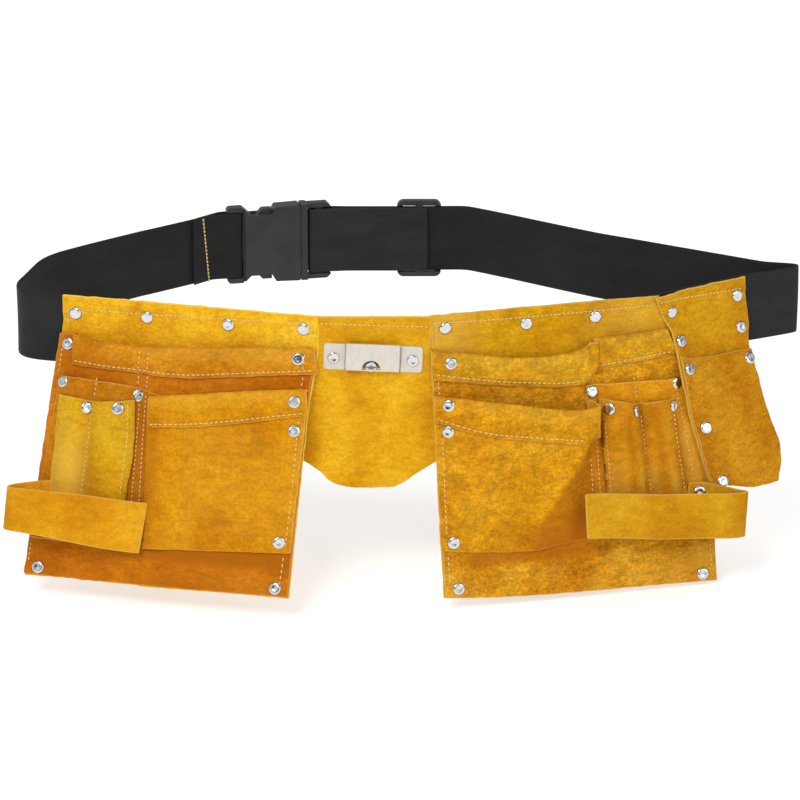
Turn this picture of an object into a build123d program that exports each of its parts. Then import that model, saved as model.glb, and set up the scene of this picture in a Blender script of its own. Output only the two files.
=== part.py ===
from build123d import *
import os
from math import cos, sin, radians

os.makedirs("parts", exist_ok=True)

# Suede tool apron on a waist belt, millimetres. Origin at the centre of the waist loop, at
# half the height of the webbing; X to the viewer's right, -Y to the front, +Z up.

leather = 2.0
clearance = 0.05
webbing_width = 50.0
webbing_thickness = 1.5
top_z = webbing_width / 2
strip_height = 23.0
stem_radius = 1.5
hole_radius = 1.6
cap_radius = 4.4
cap_height = 1.3
back_cap_height = 0.9

left_yaw, left_flare = -15.0, 21.0
right_yaw, right_flare = 15.7, 12.0
holster_yaw, holster_flare = 34.1, 21.0
centre_flare = 4.0
left_corner = (-242.9, -69.6)
right_corner = (15.1, -116.8)
holster_corner = (172.9, -72.2)
centre_corner = (-61.9, -117.9)

buckle_yaw = 12.0
buckle_half_thickness = 6.0
strap_y = 140.6


def face_plane(corner, yaw, flare):
    """Outer face of a panel: x along it, y up it, z outwards, origin on the fold line."""
    along = Vector(cos(radians(yaw)), sin(radians(yaw)), 0)
    out = Vector(sin(radians(yaw)), -cos(radians(yaw)), 0)
    normal = out * cos(radians(flare)) + Vector(0, 0, 1) * sin(radians(flare))
    origin = Vector(corner[0], corner[1], top_z - strip_height)
    return Plane(origin=origin, x_dir=along, z_dir=normal)


left_face = face_plane(left_corner, left_yaw, left_flare)
right_face = face_plane(right_corner, right_yaw, right_flare)
holster_face = face_plane(holster_corner, holster_yaw, holster_flare)
centre_face = face_plane(centre_corner, 0, centre_flare)
left_top = face_plane(left_corner, left_yaw, 0)
right_top = face_plane(right_corner, right_yaw, 0)
holster_top = face_plane(holster_corner, holster_yaw, 0)
centre_top = face_plane(centre_corner, 0, 0)


def section_plane(face, v):
    """Plane across a panel, v below its top edge: x along the panel, y outwards, normal down."""
    origin = face.origin + face.y_dir * (strip_height - v)
    return Plane(origin=origin, x_dir=face.x_dir, z_dir=face.y_dir * -1)


def slab(face, outline, z0, z1, mode=Mode.ADD):
    """Flat sheet between two depths; outline points are (along, below the top edge)."""
    with BuildSketch(face.offset(z0)) as sheet:
        with BuildLine():
            Polyline(*[(u, strip_height - v) for u, v in outline], close=True)
        make_face()
    extrude(sheet.sketch, amount=z1 - z0, mode=mode)


def bent_sheet(face, path, v0, v1, thickness=leather, radius=1.6):
    """Sheet bent along a path of (along, outwards) points, running from v0 down to v1."""
    with BuildSketch(section_plane(face, v0)) as profile:
        with BuildLine() as line:
            FilletPolyline(*path, radius=radius)
        trace(line.line, line_width=thickness)
    extrude(profile.sketch, amount=v1 - v0)


def section_block(face, outline, v0, v1, mode=Mode.ADD):
    """Block whose (along, outwards) outline runs from v0 down to v1."""
    with BuildSketch(section_plane(face, v0)) as profile:
        with BuildLine():
            Polyline(*outline, close=True)
        make_face()
    extrude(profile.sketch, amount=v1 - v0, mode=mode)


def drill(face, spots, z0=-12.0, z1=60.0, radius=hole_radius):
    """Round rivet holes through everything built so far between two depths."""
    with BuildSketch(face.offset(z0)) as holes:
        with Locations(*[(u, strip_height - v) for u, v in spots]):
            Circle(radius)
    extrude(holes.sketch, amount=z1 - z0, mode=Mode.SUBTRACT)


def rivet(face, u, v, front, back):
    """One double-cap rivet clamping everything between two depths."""
    spot = [(u, strip_height - v)]
    with BuildSketch(face.offset(back - back_cap_height)) as foot:
        with Locations(*spot):
            Circle(cap_radius - 0.8)
    extrude(foot.sketch, amount=back_cap_height - clearance)
    with BuildSketch(face.offset(back - back_cap_height / 2)) as stem:
        with Locations(*spot):
            Circle(stem_radius)
    extrude(stem.sketch, amount=front - back + back_cap_height)
    with BuildSketch(face.offset(front + clearance)) as cap:
        with Locations(*spot):
            Circle(cap_radius)
    extrude(cap.sketch, amount=cap_height, taper=35)


def band(points, radii, z0, z1, thickness):
    """Upright band whose centre line runs through plan-view points."""
    with BuildSketch(Plane.XY.offset(z0)) as plan:
        with BuildLine() as line:
            FilletPolyline(*points, radius=radii)
        trace(line.line, line_width=thickness)
    extrude(plan.sketch, amount=z1 - z0)


# ---- rivet positions: (along, below the top edge) ----
left_strip_rivets = [(9.5, 12.3), (62.3, 10.8), (121.7, 10.8), (176.1, 9.2)]
right_strip_rivets = [(11.1, 8.9), (69.9, 11.0), (120.5, 10.6)]
holster_strip_rivets = [(14.8, 13.7), (74.6, 13.0)]
clip_rivets = [(10.0, 28.7), (65.0, 31.0)]
clip_centre_rivet = (35.9, 39.5)
left_rear_rivets = [(5.2, 35.1), (174.2, 31.6)]
left_bottom_rivets = [(-1.9, 193.4), (171.8, 191.8)]
left_main_rivets = [(176.2, 62.0), (176.2, 81.2), (176.0, 159.5)]
left_slot_rivets = [(3.2, 64.4), (66.0, 68.0)]
left_front_rivets = [(26.0, 78.0)]
left_hem_rivet = (44.0, 76.5)
right_rear_rivets = [(12.5, 35.2)]
right_bottom_rivets = [(9.5, 193.2), (191.4, 201.5)]
right_main_rivets = [(9.0, 65.5), (9.0, 82.5), (9.0, 161.1)]
right_slot_rivets = [(118.2, 65.4)]
right_front_rivets = [(151.0, 80.6)]
right_hem_rivets = [(132.0, 78.5), (167.0, 80.0)]
right_loop_rivet = (193.6, 146.5)
holster_low_rivets = [(18.5, 36.4), (73.0, 36.3)]
holster_pocket_rivets = [(21.5, 57.3), (27.0, 100.2), (30.5, 134.0)]

# ---- belt body: top strips, centre panel, tape clip, webbing, buckle plug ----
with BuildPart() as left_top_strip:
    slab(left_top, [(0, 0), (186.2, 0), (186.2, 22.7), (0, 22.7)], -leather, 0)
    drill(left_top, left_strip_rivets)
left_top_strip.part.label = "left_top_strip"
export_step(left_top_strip.part, "parts/left_top_strip.step")

with BuildPart() as right_top_strip:
    slab(right_top, [(1.0, 0), (162.8, 0), (162.8, 22.7), (1.0, 22.7)], -leather, 0)
    drill(right_top, right_strip_rivets)
right_top_strip.part.label = "right_top_strip"
export_step(right_top_strip.part, "parts/right_top_strip.step")

with BuildPart() as holster_top_strip:
    slab(holster_top, [(1.4, 0), (80.6, 0), (80.6, 22.7), (8.4, 22.7)], -leather, 0)
    drill(holster_top, holster_strip_rivets)
holster_top_strip.part.label = "holster_top_strip"
export_step(holster_top_strip.part, "parts/holster_top_strip.step")

centre_outline = [
    (0.6, 22.8),
    (75.8, 22.8),
    (76.6, 40),
    (82.5, 104),
    (68, 113),
    (56.6, 120),
    (40, 121.6),
    (18.8, 120.3),
    (4, 113.5),
    (-10.4, 103),
    (-3.5, 62),
]
with BuildPart() as centre_panel:
    slab(centre_top, [(0.6, 0), (75.8, 0), (75.8, 23), (0.6, 23)], -leather, 0)
    slab(centre_face, centre_outline, -leather, 0)
    drill(centre_face, clip_rivets + [clip_centre_rivet])
centre_panel.part.label = "centre_panel"
export_step(centre_panel.part, "parts/centre_panel.step")

clip_gauge = 1.0
clip_lift = 1.0
clip_bridge = 5.0
clip_height = 19.0
clip_profile = [
    (3.4, clip_lift),
    (18.2, clip_lift),
    (19.8, clip_bridge),
    (56.2, clip_bridge),
    (57.8, clip_lift),
    (71.8, clip_lift),
]
with BuildPart() as tape_clip:
    with BuildSketch(section_plane(centre_face, 20.5)) as clip_section:
        with BuildLine() as clip_line:
            FilletPolyline(*clip_profile, radius=1.0)
        trace(clip_line.line, line_width=clip_gauge)
    extrude(clip_section.sketch, amount=clip_height)
    drill(centre_face, clip_rivets)
    drill(centre_face, [clip_centre_rivet], radius=6.8)
tape_clip.part.label = "tape_clip"
export_step(tape_clip.part, "parts/tape_clip.step")

with BuildPart() as tape_clip_rivets:
    for u, v in clip_rivets:
        rivet(centre_face, u, v, clip_lift + clip_gauge / 2, -4.5)
    rivet(centre_face, clip_centre_rivet[0], clip_centre_rivet[1], 0, -5.2)
tape_clip_rivets.part.label = "tape_clip_rivets"
export_step(tape_clip_rivets.part, "parts/tape_clip_rivets.step")

strap_back = -leather - 2 * clearance - webbing_thickness
with BuildPart() as top_row_rivets:
    for u, v in left_strip_rivets:
        rivet(left_top, u, v, 0, strap_back)
    for u, v in right_strip_rivets:
        rivet(right_top, u, v, 0, strap_back)
    for u, v in holster_strip_rivets:
        rivet(holster_top, u, v, 0, strap_back)
top_row_rivets.part.label = "top_row_rivets"
export_step(top_row_rivets.part, "parts/top_row_rivets.step")

# ---- buckle frame: x along the buckle, y up, z towards the inside of the loop ----
buckle_x = Vector(cos(radians(buckle_yaw)), sin(radians(buckle_yaw)), 0)
buckle_z = Vector(sin(radians(buckle_yaw)), -cos(radians(buckle_yaw)), 0)
buckle_origin = Vector(-81, 134, 0)
buckle_face = Plane(origin=buckle_origin, x_dir=buckle_x, z_dir=buckle_z)


def buckle_spot(x, z):
    """Plan-view point of a spot given along and across the buckle."""
    spot = buckle_origin + buckle_x * x + buckle_z * z
    return (spot.X, spot.Y)


wrap_z = 3.3
strap_start = (-273.8, -27.4)
strap_points = [
    strap_start,
    (-281.0, -56.5),
    (-242.2, -66.85),
    (-62.3, -115.1),
    (10.7, -115.1),
    (171.2, -69.95),
    (238.1, -24.6),
    (288.0, 1.5),
    (256.0, 7.0),
    (141.0, 73.0),
    (44.0, strap_y),
    (-50.0, strap_y),
    buckle_spot(20.0, -wrap_z),
]
strap_radii = [24, 20, 8, 8, 8, 20, 5, 30, 120, 20, 30]

with BuildPart() as webbing_main:
    band(strap_points, strap_radii, -top_z, top_z, webbing_thickness)
    for face, spots in (
        (left_top, left_strip_rivets),
        (right_top, right_strip_rivets),
        (holster_top, holster_strip_rivets),
        (centre_face, clip_rivets + [clip_centre_rivet]),
    ):
        drill(face, spots)
webbing_main.part.label = "webbing_main"
export_step(webbing_main.part, "parts/webbing_main.step")

tail_points = [
    buckle_spot(18.8, -wrap_z),
    buckle_spot(10.5, -wrap_z),
    buckle_spot(10.5, wrap_z),
    buckle_spot(20.0, wrap_z),
    (-46.0, 136.6),
    (14.6, 136.6),
    (14.6, 139.3),
]
with BuildPart() as webbing_tail:
    band(tail_points, [2.4, 2.4, 20, 20, 1.2], -top_z + 0.4, top_z - 0.4, webbing_thickness)
webbing_tail.part.label = "webbing_tail"
export_step(webbing_tail.part, "parts/webbing_tail.step")

left_points = [
    (-273.54, -26.35),
    (-262.0, 20.0),
    (-196.5, 78.0),
    (-158.0, 107.5),
    buckle_spot(-60.0, -3.4),
    buckle_spot(-48.3, -3.4),
    buckle_spot(-48.3, 3.4),
    buckle_spot(-60.0, 3.4),
    (-146.2, 116.6),
    (-158.9, 104.0),
]
with BuildPart() as webbing_left:
    band(left_points, [60, 60, 30, 10, 2.4, 2.4, 4, 10], -top_z, top_z, webbing_thickness)
webbing_left.part.label = "webbing_left"
export_step(webbing_left.part, "parts/webbing_left.step")

socket_half = [
    (-55.0, 27.8),
    (-53.3, 29.5),
    (-43.6, 29.5),
    (-37.6, 23.6),
    (-21.8, 23.6),
    (-18.6, 29.0),
    (-1.2, 29.5),
    (0.0, 28.6),
]
socket_outline = socket_half + [(x, -y) for x, y in reversed(socket_half)]
with BuildPart() as buckle_socket:
    with BuildSketch(buckle_face.offset(-buckle_half_thickness)) as socket_body:
        with BuildLine():
            Polyline(*socket_outline, close=True)
        make_face()
    extrude(amount=2 * buckle_half_thickness)
    with BuildSketch(buckle_face.offset(-20)) as socket_thin:
        with Locations((-49.5, 0)):
            Rectangle(15.0, 62.0)
    extrude(amount=16.4, mode=Mode.SUBTRACT)
    with BuildSketch(buckle_face.offset(20)) as socket_thin_front:
        with Locations((-49.5, 0)):
            Rectangle(15.0, 62.0)
    extrude(amount=-16.4, mode=Mode.SUBTRACT)
    with BuildSketch(buckle_face.offset(-20)) as socket_slot:
        with Locations((-46.6, 0)):
            Rectangle(6.8, 51.6)
    extrude(amount=40, mode=Mode.SUBTRACT)
    with BuildSketch(buckle_face.offset(-20)) as bar_back:
        with Locations((-52.6, 0)):
            Rectangle(6.4, 51.6)
    extrude(amount=18, mode=Mode.SUBTRACT)
    with BuildSketch(buckle_face.offset(2)) as bar_front:
        with Locations((-52.6, 0)):
            Rectangle(6.4, 51.6)
    extrude(amount=18, mode=Mode.SUBTRACT)
    with BuildSketch(buckle_face.offset(-3.8)) as socket_cavity:
        with Locations((-18.5, 0)):
            Rectangle(39.0, 44.6)
        with Locations((-28.8, 0)):
            Rectangle(16.4, 62.0)
    extrude(amount=7.6, mode=Mode.SUBTRACT)
buckle_socket.part.label = "buckle_socket"
export_step(buckle_socket.part, "parts/buckle_socket.step")

rail_half = [
    (0.5, 0.0),
    (0.5, 28.5),
    (1.5, 29.5),
    (20.5, 29.5),
    (23.4, 26.6),
    (23.4, 26.2),
    (17.0, 26.2),
    (17.0, 0.0),
]
with BuildPart() as buckle_plug:
    with BuildSketch(buckle_face.offset(-3.5)) as plug_frame:
        with BuildLine():
            Polyline(*rail_half, close=True)
        make_face()
        mirror(about=Plane.XZ)
        with Locations((11.4, 0)):
            Rectangle(11.9, 52.2, mode=Mode.SUBTRACT)
    extrude(amount=7.0)
    with BuildSketch(buckle_face.offset(-2.0)) as plug_bar:
        with Locations((14.6, 0)):
            Rectangle(4.8, 53.0)
    extrude(amount=4.0)
    with BuildSketch(buckle_face.offset(-buckle_half_thickness)) as plug_base:
        with Locations((2.9, 0)):
            Rectangle(4.8, 59.0)
    extrude(amount=2 * buckle_half_thickness)
    with BuildSketch(buckle_face.offset(-2.6)) as plug_tongue:
        with Locations((-14.0, 0)):
            Rectangle(30.0, 13.0)
        with Locations((-1.5, 0)):
            Rectangle(5.0, 24.0)
    extrude(amount=5.2)
    with BuildSketch(buckle_face.offset(-20)) as plug_slot:
        with Locations((17.4, 0)):
            Rectangle(0.9, 52.2, mode=Mode.ADD)
    extrude(amount=40, mode=Mode.SUBTRACT)
buckle_plug.part.label = "buckle_plug"
export_step(buckle_plug.part, "parts/buckle_plug.step")

pivot_x, pivot_y = -2.5, 16.5
prong_arm = [(-2.5, 14.0), (-2.5, 19.0), (-21.6, 19.5), (-21.6, 27.4), (-28.5, 27.4), (-36.4, 19.0), (-36.4, 15.0)]
with BuildPart() as prong_upper:
    with BuildSketch(buckle_face.offset(-3.0)) as upper_profile:
        with BuildLine():
            Polyline(*prong_arm, close=True)
        make_face()
        with Locations((pivot_x, pivot_y)):
            Circle(2.5)
    extrude(amount=6.0)
prong_upper.part.label = "prong_upper"
export_step(prong_upper.part, "parts/prong_upper.step")

with BuildPart() as prong_lower:
    with BuildSketch(buckle_face.offset(-3.0)) as lower_profile:
        with BuildLine():
            Polyline(*[(x, -y) for x, y in prong_arm], close=True)
        make_face()
        with Locations((pivot_x, -pivot_y)):
            Circle(2.5)
    extrude(amount=6.0)
prong_lower.part.label = "prong_lower"
export_step(prong_lower.part, "parts/prong_lower.step")

glide_x, glide_length, glide_height = 8.5, 33.0, 59.0
glide_front, glide_back = 137.5, 143.6
glide_plane = Plane(origin=(glide_x, glide_front, 0), x_dir=(1, 0, 0), z_dir=(0, 1, 0))
with BuildPart() as tri_glide:
    with BuildSketch(glide_plane) as glide_frame:
        RectangleRounded(glide_length, glide_height, 5.0)
        Rectangle(glide_length - 9.0, 52.0, mode=Mode.SUBTRACT)
    extrude(amount=glide_back - glide_front)
    with BuildSketch(glide_plane) as glide_centre:
        Rectangle(6.0, 53.0)
    extrude(amount=2.2)
    with BuildSketch(glide_plane) as glide_pass:
        Rectangle(glide_length + 2, 52.0)
    extrude(amount=4.0, mode=Mode.SUBTRACT)
    with BuildSketch(glide_plane) as glide_bar:
        Rectangle(6.0, 53.0)
    extrude(amount=2.2)
tri_glide.part.label = "tri_glide"
export_step(tri_glide.part, "parts/tri_glide.step")

# ---- left pouch ----
left_back_outline = [
    (0.2, 23.3),
    (186.0, 23.3),
    (185.0, 40),
    (182.6, 75),
    (181.9, 196.7),
    (-11.8, 198.9),
    (-5.5, 90),
    (-1.2, 40),
]
left_rear_outline = [
    (-0.9, 28.3),
    (29.6, 32.7),
    (60, 34.1),
    (86.1, 32.8),
    (123.1, 29.6),
    (185.0, 24.6),
    (184.2, 40),
    (181.8, 75),
    (181.1, 196.0),
    (-11.0, 198.1),
    (-4.7, 90),
]
low = leather / 2 + clearance
left_rear_path = [
    (-20, low),
    (11, low),
    (19, 6),
    (52, 6),
    (57, low),
    (68, low),
    (73, 6),
    (161, 6),
    (168.5, low),
    (192, low),
]
with BuildPart() as left_back_panel:
    slab(left_face, left_back_outline, -leather, 0)
    drill(left_face, left_rear_rivets + left_bottom_rivets + left_main_rivets)
    drill(left_face, left_slot_rivets + left_front_rivets + [(-2.5, 156.0)])
left_back_panel.part.label = "left_back_panel"
export_step(left_back_panel.part, "parts/left_back_panel.step")

with BuildPart() as left_rear_pocket:
    bent_sheet(left_face, left_rear_path, 20, 187)
    section_block(left_face, [(11, low), (19, 6), (161, 6), (168.5, low)], 185, 187)
    slab(left_face, left_rear_outline, -1, 60, mode=Mode.INTERSECT)
    slab(left_face, [(-10.4, 186), (181.1, 186), (181.1, 196.0), (-11.0, 198.1)], clearance, low + 1)
    drill(left_face, left_rear_rivets + left_bottom_rivets + left_main_rivets)
    drill(left_face, left_slot_rivets + left_front_rivets)
left_rear_pocket.part.label = "left_rear_pocket"
export_step(left_rear_pocket.part, "parts/left_rear_pocket.step")

mid = 7.0 + clearance + leather / 2
left_main_outline = [
    (-1.0, 58.3),
    (28.5, 59),
    (62.7, 61.3),
    (79.9, 66.1),
    (126.2, 61.5),
    (180.8, 54.4),
    (181.2, 75),
    (180.6, 165.5),
    (136.5, 168.2),
    (68, 172.7),
    (-8.0, 172.7),
]
left_main_path = [
    (-16, 3.35),
    (8.6, 3.35),
    (12.6, 13),
    (20, 13),
    (22, mid),
    (30, mid),
    (32, 13),
    (53, 13),
    (57, mid),
    (76, mid),
    (84, 24),
    (160, 24),
    (171.2, 3.4),
    (192, 3.4),
]
with BuildPart() as left_main_pocket:
    bent_sheet(left_face, left_main_path, 48, 165, radius=1.2)
    section_block(left_face, [(10.6, mid), (12.6, 13), (20, 13), (22, mid)], 163, 165)
    section_block(left_face, [(30, mid), (32, 13), (53, 13), (57, mid)], 163, 165)
    section_block(left_face, [(76, mid), (84, 24), (160, 24), (167.4, mid)], 160, 162)
    slab(left_face, left_main_outline, -1, 60, mode=Mode.INTERSECT)
    drill(left_face, left_main_rivets + left_slot_rivets + left_front_rivets)
left_main_pocket.part.label = "left_main_pocket"
export_step(left_main_pocket.part, "parts/left_main_pocket.step")

left_front_outline = [
    (1.6, 70.3),
    (22.2, 72.1),
    (39.3, 73.3),
    (60.5, 68.9),
    (60.5, 160),
    (0.0, 160),
]
left_front_path = [
    (0.0, 5.4),
    (5.8, 5.4),
    (9.8, 20),
    (22.2, 20),
    (24.3, mid + 2.1),
    (27.7, mid + 2.1),
    (29.8, 20),
    (54.5, 20),
    (58.3, mid + 2.1),
    (62, mid + 2.1),
]
with BuildPart() as left_tool_slots:
    bent_sheet(left_face, left_front_path, 60, 160, radius=1.2)
    section_block(left_face, [(8.7, 16), (9.8, 20), (22.2, 20), (23.0, 16)], 158, 160)
    section_block(left_face, [(29.0, 16), (29.8, 20), (54.5, 20), (55.6, 16)], 158, 160)
    slab(left_face, left_front_outline, -1, 60, mode=Mode.INTERSECT)
    drill(left_face, left_front_rivets + [left_hem_rivet])
left_tool_slots.part.label = "left_tool_slots"
export_step(left_tool_slots.part, "parts/left_tool_slots.step")

left_loop_path = [
    (72.5, mid + 2.1),
    (63.5, mid + 2.1),
    (58, 26),
    (30, 31),
    (-10, 34),
    (-31, 28),
    (-31, 8),
    (-21, -3.15),
    (2.0, -3.15),
]
left_loop_outline = [(-60, 140.1), (74, 141.1), (74, 173.6), (68, 176.3), (-60, 172.6)]
with BuildPart() as left_hammer_loop:
    bent_sheet(left_face, left_loop_path, 130, 186, radius=3.0)
    slab(left_face, left_loop_outline, -20, 80, mode=Mode.INTERSECT)
    drill(left_face, [(-2.5, 156.0)], z0=-12, z1=0)
    drill(left_face, [(68.0, 156.5)], z0=5, z1=14)
left_hammer_loop.part.label = "left_hammer_loop"
export_step(left_hammer_loop.part, "parts/left_hammer_loop.step")

with BuildPart() as left_pouch_rivets:
    for u, v in left_rear_rivets:
        rivet(left_face, u, v, low + 1, -leather)
    for u, v in left_bottom_rivets:
        rivet(left_face, u, v, low + 1, -leather)
    for u, v in left_main_rivets:
        rivet(left_face, u, v, 4.45, -leather)
    rivet(left_face, left_slot_rivets[0][0], left_slot_rivets[0][1], 4.4, -leather)
    rivet(left_face, left_slot_rivets[1][0], left_slot_rivets[1][1], mid + 1, -leather)
    for u, v in left_front_rivets:
        rivet(left_face, u, v, 21, -leather)
    rivet(left_face, left_hem_rivet[0], left_hem_rivet[1], 21, 19)
left_pouch_rivets.part.label = "left_pouch_rivets"
export_step(left_pouch_rivets.part, "parts/left_pouch_rivets.step")

# ---- right pouch with its holster ----
right_edge = [(170.8, 26), (177.6, 46), (185.4, 78), (191.0, 107), (194.4, 130)]
right_back_outline = (
    [(1.2, 23.3), (163.2, 23.3)]
    + right_edge
    + [(198.5, 150), (200.5, 177), (201.6, 207.7), (0.5, 199.3), (0.6, 165)]
)
right_rear_top = [
    (2.0, 27.0),
    (51.8, 33.2),
    (96.1, 38.2),
    (115.2, 36.3),
    (119.5, 31.0),
    (126.8, 29.8),
    (170.0, 27.1),
]
right_rear_outline = right_rear_top + [
    (176.8, 46),
    (184.6, 78),
    (190.2, 107),
    (193.6, 130),
    (197.7, 150),
    (199.7, 177),
    (200.8, 206.9),
    (1.3, 198.5),
    (1.4, 165),
]
right_rear_path = [
    (-8, low),
    (20, low),
    (27, 6),
    (105, 6),
    (111, low),
    (123, low),
    (129, 6),
    (158, 6),
    (165, low),
    (206, low),
]
with BuildPart() as right_back_panel:
    slab(right_face, right_back_outline, -leather, 0)
    drill(right_face, right_rear_rivets + right_bottom_rivets + right_main_rivets)
    drill(right_face, right_slot_rivets + right_front_rivets + [right_loop_rivet])
right_back_panel.part.label = "right_back_panel"
export_step(right_back_panel.part, "parts/right_back_panel.step")

with BuildPart() as right_rear_pocket:
    bent_sheet(right_face, right_rear_path, 20, 190)
    section_block(right_face, [(20, low), (27, 6), (158, 6), (165, low)], 188, 190)
    slab(right_face, right_rear_outline, -1, 60, mode=Mode.INTERSECT)
    slab(right_face, [(1.4, 188), (199.9, 188), (200.8, 206.9), (1.3, 198.5)], clearance, low + 1)
    drill(right_face, right_rear_rivets + right_bottom_rivets + right_main_rivets)
    drill(right_face, right_slot_rivets + right_front_rivets + [right_loop_rivet])
right_rear_pocket.part.label = "right_rear_pocket"
export_step(right_rear_pocket.part, "parts/right_rear_pocket.step")

right_main_outline = [
    (1.9, 57.6),
    (49.7, 70),
    (93.9, 79.7),
    (119.8, 81.2),
    (119.8, 166.5),
    (81.8, 169.3),
    (44.2, 170.2),
    (1.9, 164.6),
]
right_main_path = [
    (-8, 3.3),
    (15.2, 3.3),
    (25, 24),
    (100, 24),
    (112.3, 3.3),
    (124, 3.3),
]
with BuildPart() as right_main_pocket:
    bent_sheet(right_face, right_main_path, 48, 160, radius=1.2)
    section_block(right_face, [(17, mid), (25, 24), (100, 24), (108, mid)], 158, 160)
    section_block(right_face, [(29, mid - 1), (103, mid - 1), (103, mid + 1), (29, mid + 1)], 158, 175)
    slab(right_face, right_main_outline, -1, 60, mode=Mode.INTERSECT)
    drill(right_face, right_main_rivets + right_slot_rivets)
right_main_pocket.part.label = "right_main_pocket"
export_step(right_main_pocket.part, "parts/right_main_pocket.step")

right_slot_outline = [
    (114.5, 59.9),
    (148, 59.3),
    (179.3, 60.3),
    (184.2, 78),
    (186.5, 170),
    (114.5, 170),
]
right_slot_path = [
    (110, 5.4),
    (123.6, 5.4),
    (127.2, 13),
    (145, 13),
    (147, mid),
    (155, mid),
    (157, 13),
    (170.5, 13),
    (174.5, 3.3),
    (192, 3.4),
]
with BuildPart() as right_tool_slots_rear:
    bent_sheet(right_face, right_slot_path, 50, 165, radius=1.2)
    section_block(right_face, [(124.9, 8), (127.2, 13), (145, 13), (147, mid)], 163, 165)
    section_block(right_face, [(155, mid), (157, 13), (170.5, 13), (172.2, mid)], 163, 165)
    slab(right_face, right_slot_outline, -1, 60, mode=Mode.INTERSECT)
    drill(right_face, right_slot_rivets + right_front_rivets)
right_tool_slots_rear.part.label = "right_tool_slots_rear"
export_step(right_tool_slots_rear.part, "parts/right_tool_slots_rear.step")

right_front_outline = [(119.4, 69.4), (147.2, 74.7), (181.0, 75.6), (181.5, 160), (119.4, 160)]
right_front_path = [
    (110, 7.6),
    (120.7, 7.6),
    (124.9, 20),
    (147.2, 20),
    (149.3, mid + 2.1),
    (152.7, mid + 2.1),
    (154.8, 20),
    (172.5, 20),
    (177.4, 5.5),
    (190, 5.5),
]
with BuildPart() as right_tool_slots_front:
    bent_sheet(right_face, right_front_path, 60, 160, radius=1.2)
    section_block(right_face, [(123.6, 16), (124.9, 20), (147.2, 20), (148.0, 16)], 158, 160)
    section_block(right_face, [(154.0, 16), (154.8, 20), (172.5, 20), (173.8, 16)], 158, 160)
    slab(right_face, right_front_outline, -1, 60, mode=Mode.INTERSECT)
    drill(right_face, right_front_rivets + right_hem_rivets)
right_tool_slots_front.part.label = "right_tool_slots_front"
export_step(right_tool_slots_front.part, "parts/right_tool_slots_front.step")

right_loop_path = [
    (107.0, 26.2),
    (150, 26.2),
    (196, 33),
    (224, 28),
    (226, 14),
    (212, 3.2),
    (189.0, 3.2),
]
right_loop_outline = [(106, 136.4), (240, 148.4), (238, 179.8), (106, 166.7)]
with BuildPart() as right_hammer_loop:
    bent_sheet(right_face, right_loop_path, 126, 190, radius=3.0)
    section_block(right_face, [(126.5, 21.1), (146.0, 21.1), (146.0, 26), (126.5, 26)], 146, 158)
    slab(right_face, right_loop_outline, -20, 80, mode=Mode.INTERSECT)
    drill(right_face, [right_loop_rivet], z0=-12, z1=12)
right_hammer_loop.part.label = "right_hammer_loop"
export_step(right_hammer_loop.part, "parts/right_hammer_loop.step")

with BuildPart() as right_pouch_rivets:
    for u, v in right_rear_rivets + right_bottom_rivets:
        rivet(right_face, u, v, low + 1, -leather)
    for u, v in right_main_rivets:
        rivet(right_face, u, v, 4.3, -leather)
    for u, v in right_slot_rivets:
        rivet(right_face, u, v, 6.4, -leather)
    for u, v in right_front_rivets:
        rivet(right_face, u, v, 21, -leather)
    for u, v in right_hem_rivets:
        rivet(right_face, u, v, 21, 19)
    rivet(right_face, right_loop_rivet[0], right_loop_rivet[1], 4.2, -leather)
right_pouch_rivets.part.label = "right_pouch_rivets"
export_step(right_pouch_rivets.part, "parts/right_pouch_rivets.step")

holster_outline = [
    (9.6, 23.3),
    (80.5, 23.3),
    (77.6, 51),
    (82.8, 100.5),
    (87.8, 123.8),
    (77.2, 150.5),
    (26.6, 139),
    (22.8, 119.0),
    (18.9, 80.5),
    (14.7, 47.4),
    (10.7, 27.2),
]
with BuildPart() as holster_back:
    slab(holster_face, holster_outline, -leather, 0)
    drill(holster_face, holster_low_rivets + holster_pocket_rivets)
holster_back.part.label = "holster_back"
export_step(holster_back.part, "parts/holster_back.step")

holster_pocket_outline = [
    (14.9, 47.3),
    (77.6, 52.8),
    (82.6, 100.5),
    (87.4, 123.8),
    (76.8, 149.8),
    (26.8, 138.6),
    (23.0, 119.0),
    (19.1, 80.5),
]
holster_path = [(0, low), (36, low), (43, 18), (64, 18), (70, low), (100, low)]
with BuildPart() as holster_pocket:
    bent_sheet(holster_face, holster_path, 40, 136)
    section_block(holster_face, [(36, low), (43, 18), (64, 18), (70, low)], 134, 136)
    slab(holster_face, holster_pocket_outline, -1, 60, mode=Mode.INTERSECT)
    slab(holster_face, [(26.6, 135), (82.5, 135), (76.8, 149.8), (26.8, 138.6)], clearance, low + 1)
    drill(holster_face, holster_pocket_rivets)
holster_pocket.part.label = "holster_pocket"
export_step(holster_pocket.part, "parts/holster_pocket.step")

with BuildPart() as holster_rivets:
    for u, v in holster_low_rivets:
        rivet(holster_face, u, v, 0, -leather)
    for u, v in holster_pocket_rivets:
        rivet(holster_face, u, v, low + 1, -leather)
holster_rivets.part.label = "holster_rivets"
export_step(holster_rivets.part, "parts/holster_rivets.step")
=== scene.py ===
import bpy
import math
from math import cos, sin, pi, radians
from mathutils import Matrix, Vector, noise


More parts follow.
